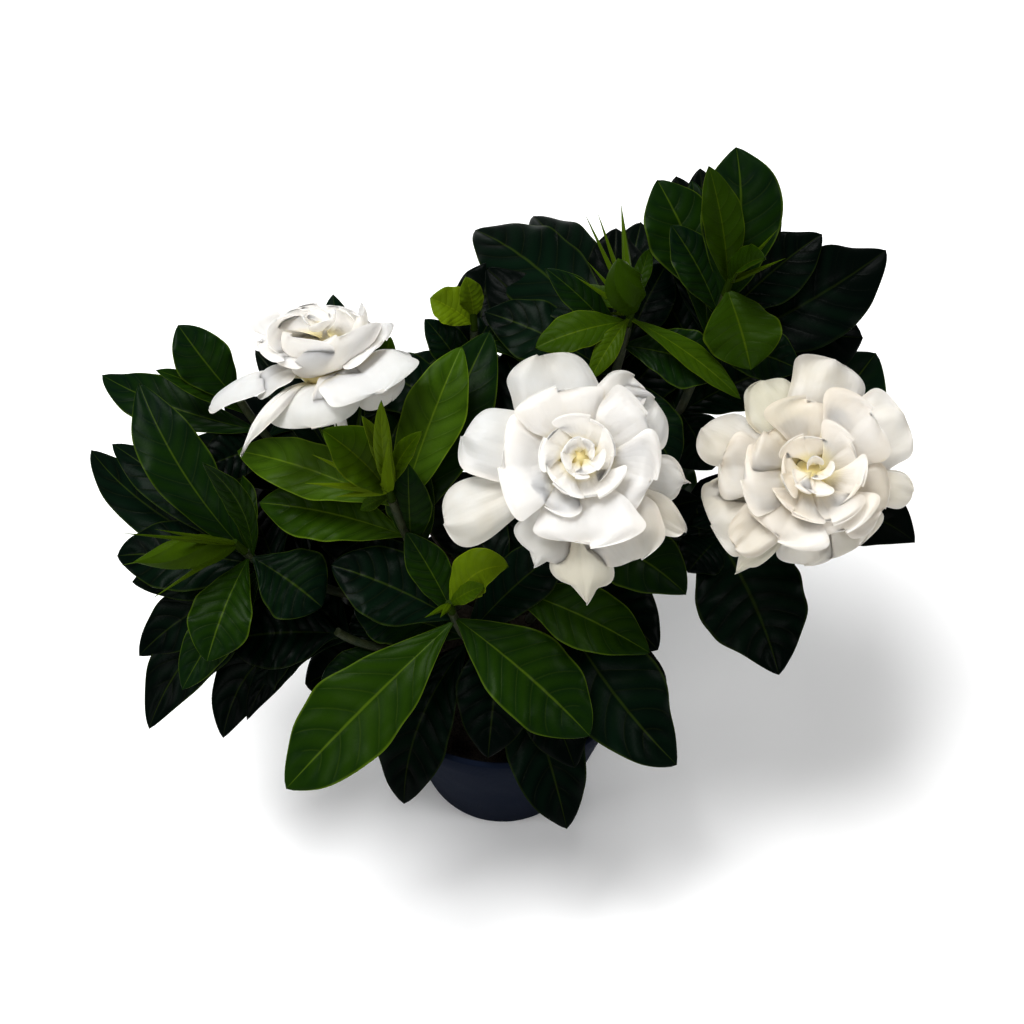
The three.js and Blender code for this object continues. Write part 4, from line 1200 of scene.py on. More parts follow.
# %% [markdown]
# ## Finding each leaf again
# In the packed model, a leaf whose tip ran into a neighbour was raised or lowered by one of a few steps until
# it was clear. The dressed leaf has to lie where the solid one does. So the same steps are tried here, and
# the one whose tip is a corner of the solid node is taken. Nothing is copied: the solid itself is asked.

# %% Lifts, read from the solids
LIFTS = [0, 5, -5, 10, -10, 16, -16, 22, -22, 30, -30, 38, -38, 46, -46]
LEAF_THICK = 0.8
LEAF_FACING = (0, -0.3, 1)
LEAF_ARCH = 0.14
corners = {}


def distance_to_corner(node, point):
    if node not in corners:
        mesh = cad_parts[node].data
        corners[node] = KDTree(len(mesh.vertices))
        for k, vertex in enumerate(mesh.vertices):
            corners[node].insert(vertex.co / MM, k)
        corners[node].balance()
    return corners[node].find(point)[2]


def leaf_tip(item, root, lift):
    if "at" in item:
        return seen(item["at"], item["z"] + lift)
    slope, turn = math.radians(item["pitch"] + lift), math.radians(item["turn"])
    flat = item["length"] * math.cos(slope)
    return root + Vector((flat * math.cos(turn), flat * math.sin(turn), item["length"] * math.sin(slope)))


def leaf_middle(item, root, tip):
    """The handle that arches the midrib up, and bends it to one side."""
    span = tip - root
    flat = span.normalized()
    rise = (UP - flat * UP.dot(flat)).normalized()
    side = rise.cross(flat)
    arch, bend = item.get("arch", LEAF_ARCH), item.get("bend", 0)
    return root + span * 0.5 + (rise * arch + side * bend) * span.length


def leaf_frame(item, root, tip):
    along = (tip - leaf_middle(item, root, tip)).normalized()
    across = Vector(item.get("facing", LEAF_FACING)).cross(along).normalized()
    return along.cross(across)


misses = []


def placed_leaf(node, root, item):
    def miss(lift):
        tip = leaf_tip(item, root, lift)
        corner = tip + leaf_frame(item, root, tip) * LEAF_THICK / 2
        return distance_to_corner(node, corner)
    lift = min(LIFTS, key=miss)
    misses.append(miss(lift))
    return leaf_tip(item, root, lift)


def placed_spike(node, item):
    lift = min(LIFTS, key=lambda lift: distance_to_corner(node, seen(item["at"], item["z"] + lift)))
    tip = seen(item["at"], item["z"] + lift)
    misses.append(distance_to_corner(node, tip))
    return tip


print("steps tried for each leaf:", len(LIFTS))

# %% [markdown]
# ## The shoot tree
# One tree grows a whole shoot: its stem, its leaves, and its buds and lobes. Modelling a hundred leaves one
# by one would take days, and a single instanced leaf would look stamped. The stem comes first. It is a Bezier
# segment swept by a fluted circle, with a slight swelling where each pair of leaves was.

# %% The shoot tree: the stem
STEM_RINGS, STEM_SIDES, STEM_FLUTES = 32, 36, 6
JOINT_SWELLING = 0.12

shooting, start = begin_tree("shoot", {
    "Stem Start": "Vector", "Stem Handle": "Vector", "Top Handle": "Vector", "Stem Top": "Vector",
    "Stem Radius": "Float", "Top Radius": "Float", "Flutes": "Float", "Rows": "Int", "Columns": "Int",
    "Quilting": "Float", "Stem Material": "Material", "Material": "Material"})

path = start.node("GeometryNodeCurvePrimitiveBezierSegment", {"mode": "POSITION"}, {
    "Resolution": STEM_RINGS, "Start": start.other("Stem Start"), "Start Handle": start.other("Stem Handle"),
    "End Handle": start.other("Top Handle"), "End": start.other("Stem Top")})
length_share = path.node("GeometryNodeSplineParameter")
foot_radius, top_radius = start.other("Stem Radius"), start.other("Top Radius")
thick = foot_radius + (top_radius - foot_radius) * length_share.ease(0, 1)
swelling = 1 + JOINT_SWELLING * ((length_share * 26).sin()) ** 8
ring = start.node("GeometryNodeCurvePrimitiveCircle", None, {"Resolution": STEM_SIDES, "Radius": 1.0})
share = ring.node("GeometryNodeSplineParameter")
fluted = 1 + start.other("Flutes") * (share * (2 * STEM_FLUTES * math.pi)).cos()
ring_spot = ring.node("GeometryNodeInputPosition")
ring = ring.node("GeometryNodeSetPosition", None, {"Geometry": ring, "Position": ring_spot * fluted})
stem = path.node("GeometryNodeCurveToMesh", None, {
    "Curve": path, "Profile Curve": ring, "Scale": thick * swelling, "Fill Caps": True})
stem = painted(stem, start.other("Stem Material"))
print("faces round a stem:", STEM_SIDES)

# %% [markdown]
# ### The leaf blades
# The starting mesh has one loose point for each leaf, and the point's attributes say how it grows. A flat box
# of many small faces is put on each point, and every corner of it is moved to where the leaf's rule says:
# along the midrib, out across the blade, and up by the fold, the ripples and the swelling between the veins.

# %% The shoot tree: the leaves
LEAF_GRID, YOUNG_GRID = (49, 15), (33, 11)
STALK_SHARE, STALK_HALF = 0.16, 0.8
OUTLINE_POWER = 0.82
BROAD_LEAF = 30
MIDRIB_GROOVE = 0.35

is_leaf = named(start, "is_leaf").above(0.5)
kinds = start.node("GeometryNodeSeparateGeometry", {"domain": "POINT"},
                   {"Geometry": start, "Selection": is_leaf})
blades = shared_grid(kinds, flat_box(start))
x, y, z = blades.node("GeometryNodeInputPosition").parts()
u, v, face = x + 0.5, 2 * y, 2 * z
root, middle, tip = [named(start, label, "FLOAT_VECTOR") for label in ("root", "middle", "tip")]
facing = named(start, "facing", "FLOAT_VECTOR")
width, full, fold, ripple = [named(start, label) for label in ("width", "full", "fold", "ripple")]
on_rib = root * ((1 - u) * (1 - u)) + middle * (2 * u * (1 - u)) + tip * (u * u)
along = ((middle - root) * (1 - u) + (tip - middle) * u).unit()
across = facing.cross(along).unit()
normal = along.cross(across)
uneven_edge = 1 + 0.045 * (8 * u + 1.7 * width + 2.2 * v).sin() + 0.02 * (21 * u + 2.9 * width + 3 * v).sin()
outline = (((u ** full) * math.pi).sin().most(0.0)) ** OUTLINE_POWER * uneven_edge
stalk = (1 - u / STALK_SHARE).most(0.0)
half = (outline * width / 2).most(STALK_HALF * stalk)
away = abs(v)
wave = 2 * ripple * (9 * u + width).sin() * half
frill = ripple * half * away ** 3 * (31 * u + 2.3 * width + 2 * v).sin() * 0.9
broad = (outline * width / BROAD_LEAF).least(1.0)
quilt = 0.5 * start.other("Quilting") * (between_veins(u, v) ** 0.6 - 0.5) * (1 - away ** 4) * broad
groove = MIDRIB_GROOVE * (1 - (away * half).ease(0.3, 2.2))
rise = away * fold * half + v * wave + frill + quilt - groove - 0.10 * half * away ** 4
thickness = LEAF_THICK * (0.5 - 0.32 * away ** 3) + 0.5 * stalk
spot = on_rib + across * (v * half) + normal * (rise + face * thickness)
blades = store(blades, "blade", x.vector(u, v, face))
blades = blades.node("GeometryNodeSetPosition", None, {"Geometry": blades, "Position": spot * MM})
print("rows and columns of a leaf:", LEAF_GRID, "of a young one:", YOUNG_GRID)

# %% [markdown]
# ### Buds and lobes
# A bud and a calyx lobe are both slender spikes: round, thickest part of the way up, with ridges that may
# wind about them. So the points that aren't leaves each get an open tube, and its corners are moved by one
# more rule. A spike could be a stretched ball, but a tube has its rows along the ridges.

# %% The shoot tree: the spikes
SPIKE_SIDES, SPIKE_RINGS, SPIKE_RIDGES = 18, 20, 6

tube = start.node("GeometryNodeMeshCylinder", {"fill_type": "NONE"}, {
    "Vertices": SPIKE_SIDES, "Side Segments": SPIKE_RINGS, "Radius": 1.0, "Depth": 1.0})
rest = kinds.other("Inverted")
spikes = shared_grid(rest, tube)
x, y, z = spikes.node("GeometryNodeInputPosition").parts()
u = z + 0.5
belly, ridge, twist, radius = [named(start, label) for label in ("belly", "ridge", "twist", "radius")]
along = (tip - root).unit()
side = along.cross((0.3, 0.1, 1.0)).unit()
front = side.cross(along)
angle = y.angle_from(x) + twist * u
ridges = (SPIKE_RIDGES * (angle - twist * u) + 9 * u * ridge).cos()
body = ((u ** belly) * math.pi).sin().most(0.0) * radius * (1 + ridge * ridges)
sway = 0.05 * (u * math.pi).sin()
spot = root + (tip - root) * u + side * (body * angle.cos() + sway * radius) + front * (body * angle.sin())
spikes = store(spikes, "blade", x.vector(u, 0.5, 2.0))
spikes = spikes.node("GeometryNodeSetPosition", None, {"Geometry": spikes, "Position": spot * MM})

whole = joined(painted(joined(blades, spikes), start.other("Material")), stem)
end_tree(whole.node("GeometryNodeMergeByDistance", None, {"Geometry": whole, "Distance": 1e-7}))
print("shoot tree:", len(shooting.nodes), "nodes")

# %% [markdown]
# ## Leafy shoots and young tips
# Now the list is read. Each leaf becomes one point with its numbers, and each shoot one piece. The leaves
# that the list gives a tone keep it, and the hidden ones get a dark one that differs from leaf to
# leaf: painted shade, for they lie inside the crown.

# %% Rows for the shoot tree
BLANK = {"is_leaf": 0.0, "root": Vector(), "middle": Vector(), "tip": Vector(), "facing": UP, "width": 1.0,
         "full": 1.0, "fold": 0.0, "ripple": 0.0, "tone": 0.5, "belly": 1.0, "ridge": 0.0, "twist": 0.0,
         "radius": 1.0}
LEAF_FULL, LEAF_FOLD, LEAF_RIPPLE = 1.25, 0.18, 0.06


def leaf_row(node, root, item, tone):
    tip = placed_leaf(node, root, item) if node else leaf_tip(item, root, 0)
    return {**BLANK, "is_leaf": 1.0, "root": root, "middle": leaf_middle(item, root, tip), "tip": tip,
            "facing": Vector(item.get("facing", LEAF_FACING)), "width": float(item["width"]),
            "full": float(item.get("full", LEAF_FULL)), "fold": float(item.get("fold", LEAF_FOLD)),
            "ripple": LEAF_RIPPLE, "tone": item.get("tone", tone)}


def spike_row(root, tip, radius, belly, ridge=0.0, twist=0.0, tone=0.5):
    return {**BLANK, "root": root, "tip": tip, "radius": radius, "belly": belly,
            "ridge": ridge, "twist": twist, "tone": tone}


def metres(handles):
    return {label: tuple(point * MM) for label, point in
            zip(("Stem Start", "Stem Handle", "Top Handle", "Stem Top"), handles)}


def grow_shoot(name, rows, handles, radii, node, materials, grid, quilting, flutes=0.0):
    inputs = {**metres(handles), "Stem Radius": radii[0] * MM, "Top Radius": radii[1] * MM, "Flutes": flutes,
              "Rows": grid[0], "Columns": grid[1], "Quilting": quilting,
              "Stem Material": materials[0], "Material": materials[1]}
    return grow(name, points_mesh(name, rows), shooting, inputs, node)


print("values on each point:", len(BLANK))

# %% [markdown]
# ## Dark leaves inside the crown
# A real plant has small, shaded leaves deep inside, and through it one sees only the dark. A few such leaves
# on the listed shoots close the gaps that would show the pale floor. They are painted nearly black, as shade.
# They have no leaf of their own in the packed model, so they take the places given here.

# %% The shaded leaves
SHADE_LEAVES = {
    "left": [leaf((243, 488), 122, 26, on=0.7), leaf((262, 520), 104, 26, on=0.3)],
    "mid_left": [leaf((318, 556), 100, 30, on=0.0), leaf((300, 500), 118, 26, on=0.1)],
    "low_left": [leaf((338, 580), 98, 26, on=0.0), leaf((305, 684), 92, 30, on=0.1)],
    "left_bloom": [leaf((376, 420), 150, 20, on=0.5), leaf((250, 400), 150, 20, on=0.7),
                   leaf((224, 400), 148, 24, on=0.6)],
    "behind": [leaf((470, 316), 168, 18, on=0.5), leaf((490, 262), 180, 24, on=0.8)],
    "right": [leaf((700, 480), 140, 30, on=0.6), leaf((688, 572), 132, 18, on=0.5)],
    "top": [leaf((668, 262), 196, 18, on=0.8), leaf((616, 228), 190, 24, on=0.7),
            leaf((486, 268), 184, 26, on=0.6)],
    "top_right": [leaf((863, 338), 180, 36, on=0.75), leaf((676, 176), 212, 22, on=0.8),
                  leaf((700, 168), 214, 20, on=0.8), leaf((772, 178), 214, 22, on=0.8)],
    "centre": [leaf((667, 684), 92, 17, on=0.1), leaf((700, 500), 140, 24, on=0.5)],
}
print("shade leaves:", sum(len(items) for items in SHADE_LEAVES.values()))

# %% [markdown]
# ## Growing the shoots
# Each shoot becomes one or two pieces: its mature leaves with their stem, and the young growth at its end
# where it has any, as these are two nodes of the packed model. A mature leaf without a tone of its
# own gets a low one by the golden ratio, which spreads them evenly: painted shade for the leaves hidden in
# the crown. Every leaf's distance from its solid is kept for a check.

# %% Grow the shoots
LOBE_BELLY, BUD_BELLY = 0.43, 0.87
STEM_RADII, TIP_RADII = (1.7, 1.45), (1.4, 1.2)
LEAF_QUILTING, YOUNG_QUILTING = 0.95, 0.1
# SHADE_TONE paints the shaded leaves nearly black: painted shade.
SHADE_TONE = 0.04
GOLDEN = 0.618

for number, shoot in enumerate(SHOOTS):
    name, stem = shoot["name"], stem_handles(shoot)
    node = "shoot_" + name
    rows = [leaf_row(node, on_curve(stem, item.get("on", 0.9)), item,
                     0.12 + 0.3 * (GOLDEN * (k + number) % 1))
            for k, item in enumerate(shoot["leaves"])]
    rows += [leaf_row(None, on_curve(stem, item["on"]), item, SHADE_TONE)
             for item in SHADE_LEAVES.get(name, [])]
    piece = grow_shoot("leaves_" + name, rows, stem, STEM_RADII, node,
                       (stem_material, leaf_material), LEAF_GRID, LEAF_QUILTING)
    node = "tip_" + name
    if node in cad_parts:
        line = tip_handles(stem)
        rows = []
        if "bud" in shoot:
            root = on_curve(line, 0.6)
            rows.append(spike_row(root, placed_spike(node, shoot["bud"]), shoot["bud"]["width"] / 2,
                                  BUD_BELLY, 0.1, 2.2, shoot["bud"]["tone"]))
        rows += [leaf_row(node, on_curve(line, item.get("on", 0.9)), item, 0.45 + 0.5 * (GOLDEN * k % 1))
                 for k, item in enumerate(shoot.get("young", []))]
        for item in shoot.get("lobes", []):
            root = on_curve(line, item["on"])
            rows.append(spike_row(root, placed_spike(node, item), item["radius"], LOBE_BELLY, 0.12, 0.5,
                                  item.get("tone", 0.65)))
        grow_shoot("young_" + name, rows, line, TIP_RADII, node,
                   (young_material, young_material), YOUNG_GRID, YOUNG_QUILTING)
    print(name, len(piece.data.polygons), "faces")
print("worst distance from a solid's corner:", round(max(misses), 3), "mm")

# %% [markdown]
# ## Woody stems
# The wood is a short trunk with a branch to each shoot. A small tree sweeps lines with a circle, each point
# with its own radius, and lifts the skin a little by a noise that is drawn out along the stem, as bark is.

# %% The bark tree
WOOD_STEP, WOOD_SIDES = 1.2, 18
BARK_DEPTH = 0.8

barking, start = begin_tree("wood", {"Material": "Material"})
finer = start.node("GeometryNodeResampleCurve", {"mode": "LENGTH"},
                   {"Curve": start, "Length": WOOD_STEP * MM})
ring = start.node("GeometryNodeCurvePrimitiveCircle", None, {"Resolution": WOOD_SIDES, "Radius": 1.0})
wood = start.node("GeometryNodeCurveToMesh", None, {
    "Curve": finer, "Profile Curve": ring, "Scale": finer.node("GeometryNodeInputRadius"), "Fill Caps": True})
spot = wood.node("GeometryNodeInputPosition")
normal = wood.node("GeometryNodeInputNormal")
bark = wood.node("ShaderNodeTexNoise", None, {
    "Vector": spot * (1.0, 1.0, 0.35), "Scale": 420.0, "Detail": 3.0})
wood = wood.node("GeometryNodeSetPosition", None, {
    "Geometry": wood, "Offset": normal * ((bark - 0.5) * BARK_DEPTH * MM)})
end_tree(painted(wood, start.other("Material")))
print("bark tree:", len(barking.nodes), "nodes")

# %% [markdown]
# ### Trunk and branches
# A curve object holds one line for the trunk and one for each branch, which ends where its green stem begins.
# The lines run into each other at the fork. Modelling the fork itself would show only a hidden joint.

# %% Grow the wood
TRUNK = {"foot": 44, "head": 95, "radius": 4.2}
TRUNK_SHAPE = [(TRUNK["foot"], 0.8), (TRUNK["foot"] + 6, 1.0), (82, 0.95), (TRUNK["head"] - 4, 1.0),
               (TRUNK["head"], 0.55)]
BRANCH_RADIUS = 2.3
BRANCH_STEPS = 12

wood_curve = bpy.data.curves.new("wood_lines", "CURVE")
wood_curve.dimensions = "3D"
lines = [[(Vector((FORK.x, FORK.y, height)), share * TRUNK["radius"]) for height, share in TRUNK_SHAPE]]
for shoot in SHOOTS:
    handles = branch_handles(shoot)
    lines.append([(on_curve(handles, k / BRANCH_STEPS), BRANCH_RADIUS * (1.15 - 0.3 * k / BRANCH_STEPS))
                  for k in range(BRANCH_STEPS + 1)])
for line in lines:
    spline = wood_curve.splines.new("POLY")
    spline.points.add(len(line) - 1)
    for point, (place, radius) in zip(spline.points, line):
        point.co, point.radius = (*(place * MM), 1), radius * MM
wood = grow("gardenia_wood", wood_curve, barking, {"Material": bark_material}, "woody_stems")
print("wood:", len(wood.data.polygons), "faces")

# %% [markdown]
# ## Calyxes
# Under each bloom a green, ribbed cup holds the corolla tube and bears six slender lobes. It is the shoot
# tree again: the cup is a short fluted stem that widens, and the lobes are spikes.

# %% Grow the calyxes
LOBE_RADIUS = 1.1
CUP_RADII, CUP_FLUTES, CUP_GRID = (1.9, 4.0), 0.08, (9, 5)
flowering = [shoot for shoot in SHOOTS if "bloom" in shoot]

for shoot in flowering:
    heart, axis = bloom_of(shoot)
    base = calyx_base(heart, axis)
    side = Vector((1, 0, 0)).cross(axis).normalized()
    rows = []
    for k in range(CALYX["lobes"]):
        out = Matrix.Rotation(2 * math.pi * k / CALYX["lobes"], 3, axis) @ side
        root = base + axis * (CALYX["length"] * 0.7) + out * (CALYX["radius"] * 0.8)
        tip = root + axis * CALYX["lobe_length"] + out * CALYX["flare"]
        rows.append(spike_row(root, tip, LOBE_RADIUS, LOBE_BELLY, 0.12, 0.4, 0.4))
    cup = [base + axis * (CALYX["length"] * k / 3) for k in range(4)]
    grow_shoot("calyx_cup_" + shoot["name"], rows, cup, CUP_RADII, "calyx_" + shoot["name"],
               (young_material, young_material), CUP_GRID, 0.0, CUP_FLUTES)
print("calyxes:", len(flowering))

# %% [markdown]
# ## Blooms
# A double gardenia has five or six layers of petals round a closed heart. Each layer lies on a bowl of its
# own: deep at the centre, level further out, then drooping. A petal runs from the corolla to the place where
# its end is seen, and leans over the next one like the blades of a turbine. So one line of numbers serves a
# whole layer, and a petal's own numbers are put over it. The outer layers lie open and their edges roll back.
# The inner petals stand up as cups round the heart.

# %% The layers of a bloom
LAYERS = {
    "outer": {
        "rise": -8.5, "from": 8, "base": -22, "height": 17, "scale": 6, "droop": 4, "lean": 0.1,
        "tone": 0.5, "roll": 1.0, "curl": -1.0, "frill": 2.0, "wrap": 0.1, "blunt": 5.0, "cup": 0},
    "second": {
        "rise": -3.5, "from": 8, "base": -20, "height": 18.5, "scale": 6, "droop": 2, "lean": 0.1,
        "tone": 0.35, "roll": 0.8, "curl": 0.0, "frill": 1.7, "wrap": 0.2, "blunt": 5.0, "cup": 0},
    "mid": {
        "rise": 2.6, "from": 5, "base": -14, "height": 17, "scale": 6, "droop": 0, "lean": 0.12,
        "tone": 0.15, "roll": 0.7, "curl": 0.8, "frill": 1.3, "wrap": 0.5, "blunt": 5.0, "cup": 0},
    "inner": {
        "rise": 7.0, "from": 3, "base": -8, "height": 15.5, "scale": 5, "droop": 0, "lean": 0.16,
        "tone": 0.1, "roll": 0.5, "curl": 0.3, "frill": 0.6, "wrap": 0.9, "blunt": 4.0, "cup": 4,
        "close": 0.08},
    "heart": {
        "rise": 9.5, "from": 1.5, "base": -2, "height": 12, "scale": 3.5, "droop": 0, "lean": 0.2,
        "tone": 0.15, "roll": 0.4, "curl": 0.2, "frill": 0.4, "wrap": 1.0, "blunt": 3.0, "cup": 3,
        "close": 0.08},
}
PETAL_HABITS = ("from", "droop", "lean", "tone", "roll", "curl", "frill", "wrap", "blunt", "cup", "cusp",
                "skew", "close")
DROOP_AT = 40
NARROW_PETAL, NARROW_BLUNT = 18, 3


def bowl(layer, radius):
    return layer["base"] + layer["height"] * (1 - math.exp(-radius / layer["scale"])) \
        - layer["droop"] * (radius / DROOP_AT) ** 3


def petal_row(heart, axis, layer, item):
    own = {"cusp": 0, "skew": 0, "close": 0, **layer, **item}
    if "blunt" not in item and item["width"] <= NARROW_PETAL:
        own["blunt"] = NARROW_BLUNT
    line = sight(item["at"])
    hit = EYE + line * (((heart - EYE).dot(axis) + own["rise"]) / line.dot(axis))
    out = hit - heart
    out -= axis * out.dot(axis)
    reach = out.length
    out.normalize()
    return {"heart": heart, "axis": axis, "out": out, "across": axis.cross(out), "reach": reach,
            "width": float(item["width"]), "bowl_base": float(layer["base"]),
            "bowl_height": float(layer["height"]), "bowl_scale": float(layer["scale"]),
            "tip_rise": float(own["rise"]), "end_rise": own["rise"] - bowl(layer, reach),
            **{habit: float(own[habit]) for habit in PETAL_HABITS}}


print("layers:", ", ".join(LAYERS))

# %% [markdown]
# ### The petal rule
# A petal is narrow at its claw and broad above. It rises on its bowl, or stands up as a cup, and has a
# crumpled edge that rolls back. That rule makes a tree again, and a box of faces on each petal's point. The
# thickness needs the surface's own direction, so the rule is written as a function and asked at three places
# close together: here, a little further along, and a little further across.

# %% The bloom tree
PETAL_THICK = 0.6
PETAL_GRID = (33, 25)
CLAW_WIDTH = 0.2
STEP = 0.01

blooming, start = begin_tree("bloom", {"Rows": "Int", "Columns": "Int", "Material": "Material"})
petals = shared_grid(start, flat_box(start))
x, y, z = petals.node("GeometryNodeInputPosition").parts()
u, v, face = 1 - (0.5 - x) ** 1.6, 2 * y, 2 * z
heart, axis, out, across = [
    named(start, label, "FLOAT_VECTOR") for label in ("heart", "axis", "out", "across")]
reach, width, end_rise, tip_rise, deep, high, scale = [
    named(start, label) for label in ("reach", "width", "end_rise", "tip_rise", "bowl_base", "bowl_height",
                                      "bowl_scale")]
first, droop, lean, _, roll, curl, frill, wrap, blunt, cup, cusp, skew, close = [
    named(start, habit) for habit in PETAL_HABITS]


def on_petal(u, v):
    widen = CLAW_WIDTH + (1 - CLAW_WIDTH) * ((u / 0.7).least(1.0) * (math.pi / 2)).sin()
    closing = ((u - 0.45) / (0.55 - 0.16 * cusp)).most(0.0).least(1.0)
    body = widen * (1 - closing ** blunt) ** 0.45 * (1 + 0.05 * frill * (9 * u + 1.3 * width).sin())
    spike = cusp * 2.4 * (1 - u) ** 0.9 * u.ease(0.5, 0.75)
    half = body.most(spike) * width / 2
    away = abs(v)
    end = u.ease(0.45, 1.0)
    scallop = frill * 0.03 * (4.6 * v + 1.7 * width).sin() * u * u * (1 - closing ** 6)
    swing = u * (math.pi / 2) * (1 + close)
    cupped = (cup / 4).least(1.0)
    spread = u + (swing.sin() - u) * cupped
    far = first + (reach - first) * spread * (1 + scallop)
    far = (far - abs(curl) * 0.45 * end * end) * (1 + 0.1 * wrap * v)
    beside = v * half + skew * width * end * end
    turn = wrap * beside / (0.85 * reach + 1)
    straight = (1 - wrap) * beside
    radius = (far * far + straight * straight) ** 0.5
    level = deep + high * (1 - (0.0 - radius / scale).exp()) - droop * (radius / DROOP_AT) ** 3
    level = level + end_rise * u ** 3
    level = level + (tip_rise - cup * swing.cos() - level) * cupped
    rim = (u.ease(0.7, 1.0)).most(away.ease(0.6, 1.0) * u.ease(0.15, 0.5))
    waves = 0.7 * u * u * (3.6 * v + 0.9 * width + 2 * u).sin()
    ruffle = frill * (waves + 0.5 * rim * (7 * v + 5 * u + width).sin())
    crease = 0.5 * (0.0 - (v / 0.12) ** 2).exp() * u.ease(0.1, 0.5) * (1 - u) * 2
    rise = level + lean * beside + ruffle * (1 - 0.7 * closing ** 6) - crease - roll * rim * rim
    rise = rise + curl * (end + 0.35 * v * v * u)
    return heart + out * (far * turn.cos()) + across * (far * turn.sin() + straight) + axis * rise


here = on_petal(u, v)
near, inward = u.most(0.05).least(0.95), v * 0.95
here_safe = on_petal(near, inward)
normal = (on_petal(near + STEP, inward) - here_safe).cross(on_petal(near, inward + STEP) - here_safe).unit()
thickness = PETAL_THICK * (0.5 - 0.3 * abs(v) ** 4) * (1 - 0.45 * u ** 6)
petals = store(petals, "blade", x.vector(u, v, face))
petals = petals.node("GeometryNodeSetPosition", None,
                     {"Geometry": petals, "Position": (here + normal * (face * thickness)) * MM})
petals = petals.node("GeometryNodeMergeByDistance", None, {"Geometry": petals, "Distance": 1e-7})
end_tree(painted(petals, start.other("Material")))
print("bloom tree:", len(blooming.nodes), "nodes")

# %% [markdown]
# ### The corolla under the petals
# The petals are joined in a slender tube that opens into a small cup, closed by the heart. It is turned from
# a profile like the pot, with the pale yellow of a petal's claw, and swung on to the bloom's axis.

# %% The corolla
COROLLA_SIDES = 36
COROLLA_ROUNDING = 1.6


def corolla(heart, axis):
    depth, tube, radius, core = (COROLLA[key] for key in ("depth", "tube", "radius", "core"))
    profile = [
        (0, -depth - tube), (radius, -depth - tube), (radius * 0.9, -depth - 10), (radius, -depth - 3),
        (core * 0.7, -depth * 0.62), (core, -depth * 0.3), (core * 0.5, -depth * 0.2), (core * 0.2, -1),
        (0, 0.5)]
    piece = grow("corolla", profile_curve("corolla_profile", profile), turning,
                 {"Sides": COROLLA_SIDES, "Rounding": COROLLA_ROUNDING * MM, "Material": petal_material})
    blade = piece.data.attributes.new("blade", "FLOAT_VECTOR", "POINT")
    for place, vertex in zip(blade.data, piece.data.vertices):
        place.vector = (0.05 + 0.3 * (vertex.co.z < -depth * MM), 0.4, 1)
    piece.data.transform(Matrix.Translation(heart * MM) @ axis.to_track_quat("Z", "Y").to_matrix().to_4x4())
    return piece


print("length of a corolla:", COROLLA["depth"] + COROLLA["tube"], "mm")

# %% [markdown]
# ### Growing the blooms
# The rows of one bloom go into one mesh of points, the tree grows its petals, and the corolla is joined to
# them, because petals and tube are one body on the plant and one node of the packed model.

# %% Grow the blooms
PETAL_SHARP = 70

for shoot in flowering:
    heart, axis = bloom_of(shoot)
    rows = [petal_row(heart, axis, LAYERS[layer], item)
            for layer, items in shoot["bloom"]["layers"].items() for item in items]
    piece = grow("petals_" + shoot["name"], points_mesh("petals", rows), blooming,
                 {"Rows": PETAL_GRID[0], "Columns": PETAL_GRID[1], "Material": petal_material},
                 sharp=PETAL_SHARP)
    tube = corolla(heart, axis)
    whole = bmesh.new()
    whole.from_mesh(piece.data)
    whole.from_mesh(tube.data)
    whole.to_mesh(piece.data)
    whole.free()
    bpy.data.objects.remove(tube)
    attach(piece, "root")
    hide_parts("bloom_" + shoot["name"])
    print(piece.name, len(rows), "petals,", len(piece.data.polygons), "faces")

# %% [markdown]
# ## Floor and light
# The plant stands on a plain pale floor under soft studio light: one large lamp high above it, four smaller
# ones round it, and a pale sky for fill. Large lamps give soft shadows and broad highlights on the leaves.
# One lamp alone would leave the sides and the back of the plant dark.

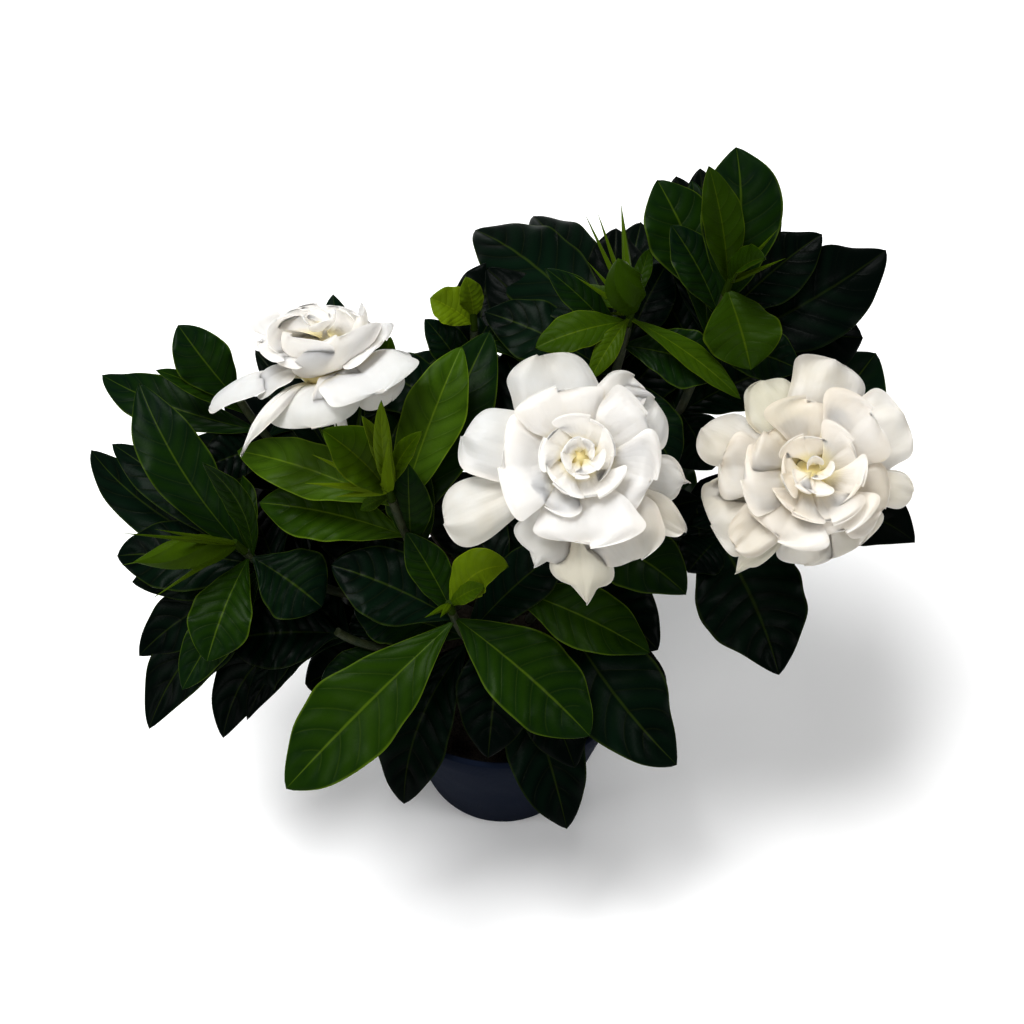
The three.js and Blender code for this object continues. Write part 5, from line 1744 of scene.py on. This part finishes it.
# %% Stage
FLOOR_HALF = 4
KEY_LAMP = {"place": (-0.8, 0.25, 2.7), "aim": (0, 0, 0.12), "size": 1.3, "power": 72}
RING_LAMPS = {"left_light": (200, 15), "front_light": (255, 11), "right_light": (335, 14),
              "back_light": (80, 20)}
RING_RADIUS, RING_HEIGHT, RING_AIM, RING_SIZE = 2.0, 1.9, (0, 0, 0.15), 0.8
SKY_STRENGTH = 0.25

floor_material, wire = begin("studio_floor")
cloud = noise(wire, 3)
surface(wire, cloud.mix((0.94, 0.94, 0.94), (0.97, 0.97, 0.97)), 0.7 + 0.1 * cloud, cloud, 0.0001)
sheet = bmesh.new()
bmesh.ops.create_grid(sheet, x_segments=8, y_segments=8, size=FLOOR_HALF)
floor_mesh = bpy.data.meshes.new("studio_floor")
sheet.to_mesh(floor_mesh)
sheet.free()
floor_mesh.materials.append(floor_material)
floor = bpy.data.objects.new("studio_floor", floor_mesh)
bpy.context.scene.collection.objects.link(floor)


def lamp(name, place, aim, size, power):
    light = bpy.data.lights.new(name, "AREA")
    light.shape, light.size, light.energy = "DISK", size, power
    stand = bpy.data.objects.new(name, light)
    stand.location = place
    stand.rotation_euler = (Vector(aim) - Vector(place)).to_track_quat("-Z", "Y").to_euler()
    bpy.context.scene.collection.objects.link(stand)


lamp("key_light", **KEY_LAMP)
for name, (turn, power) in RING_LAMPS.items():
    around = math.radians(turn)
    place = (RING_RADIUS * math.cos(around), RING_RADIUS * math.sin(around), RING_HEIGHT)
    lamp(name, place, RING_AIM, RING_SIZE, power)
world = bpy.data.worlds.new("studio_sky")
world.use_nodes = True
world.node_tree.nodes["Background"].inputs["Color"].default_value = (1, 1, 1, 1)
world.node_tree.nodes["Background"].inputs["Strength"].default_value = SKY_STRENGTH
bpy.context.scene.world = world
print("lamps:", len(bpy.data.lights))

# %% [markdown]
# ## Finish
# The dressed plant has to keep the packed model's size. The last lines count the pieces that are shown and
# their triangles.

# %% Pieces and triangles
shown = [o for o in bpy.context.scene.objects if o.type == "MESH" and not o.hide_render and o != floor]
triangles = sum(sum(len(p.vertices) - 2 for p in o.data.polygons) for o in shown)
print("pieces:", len(shown), "triangles:", triangles)
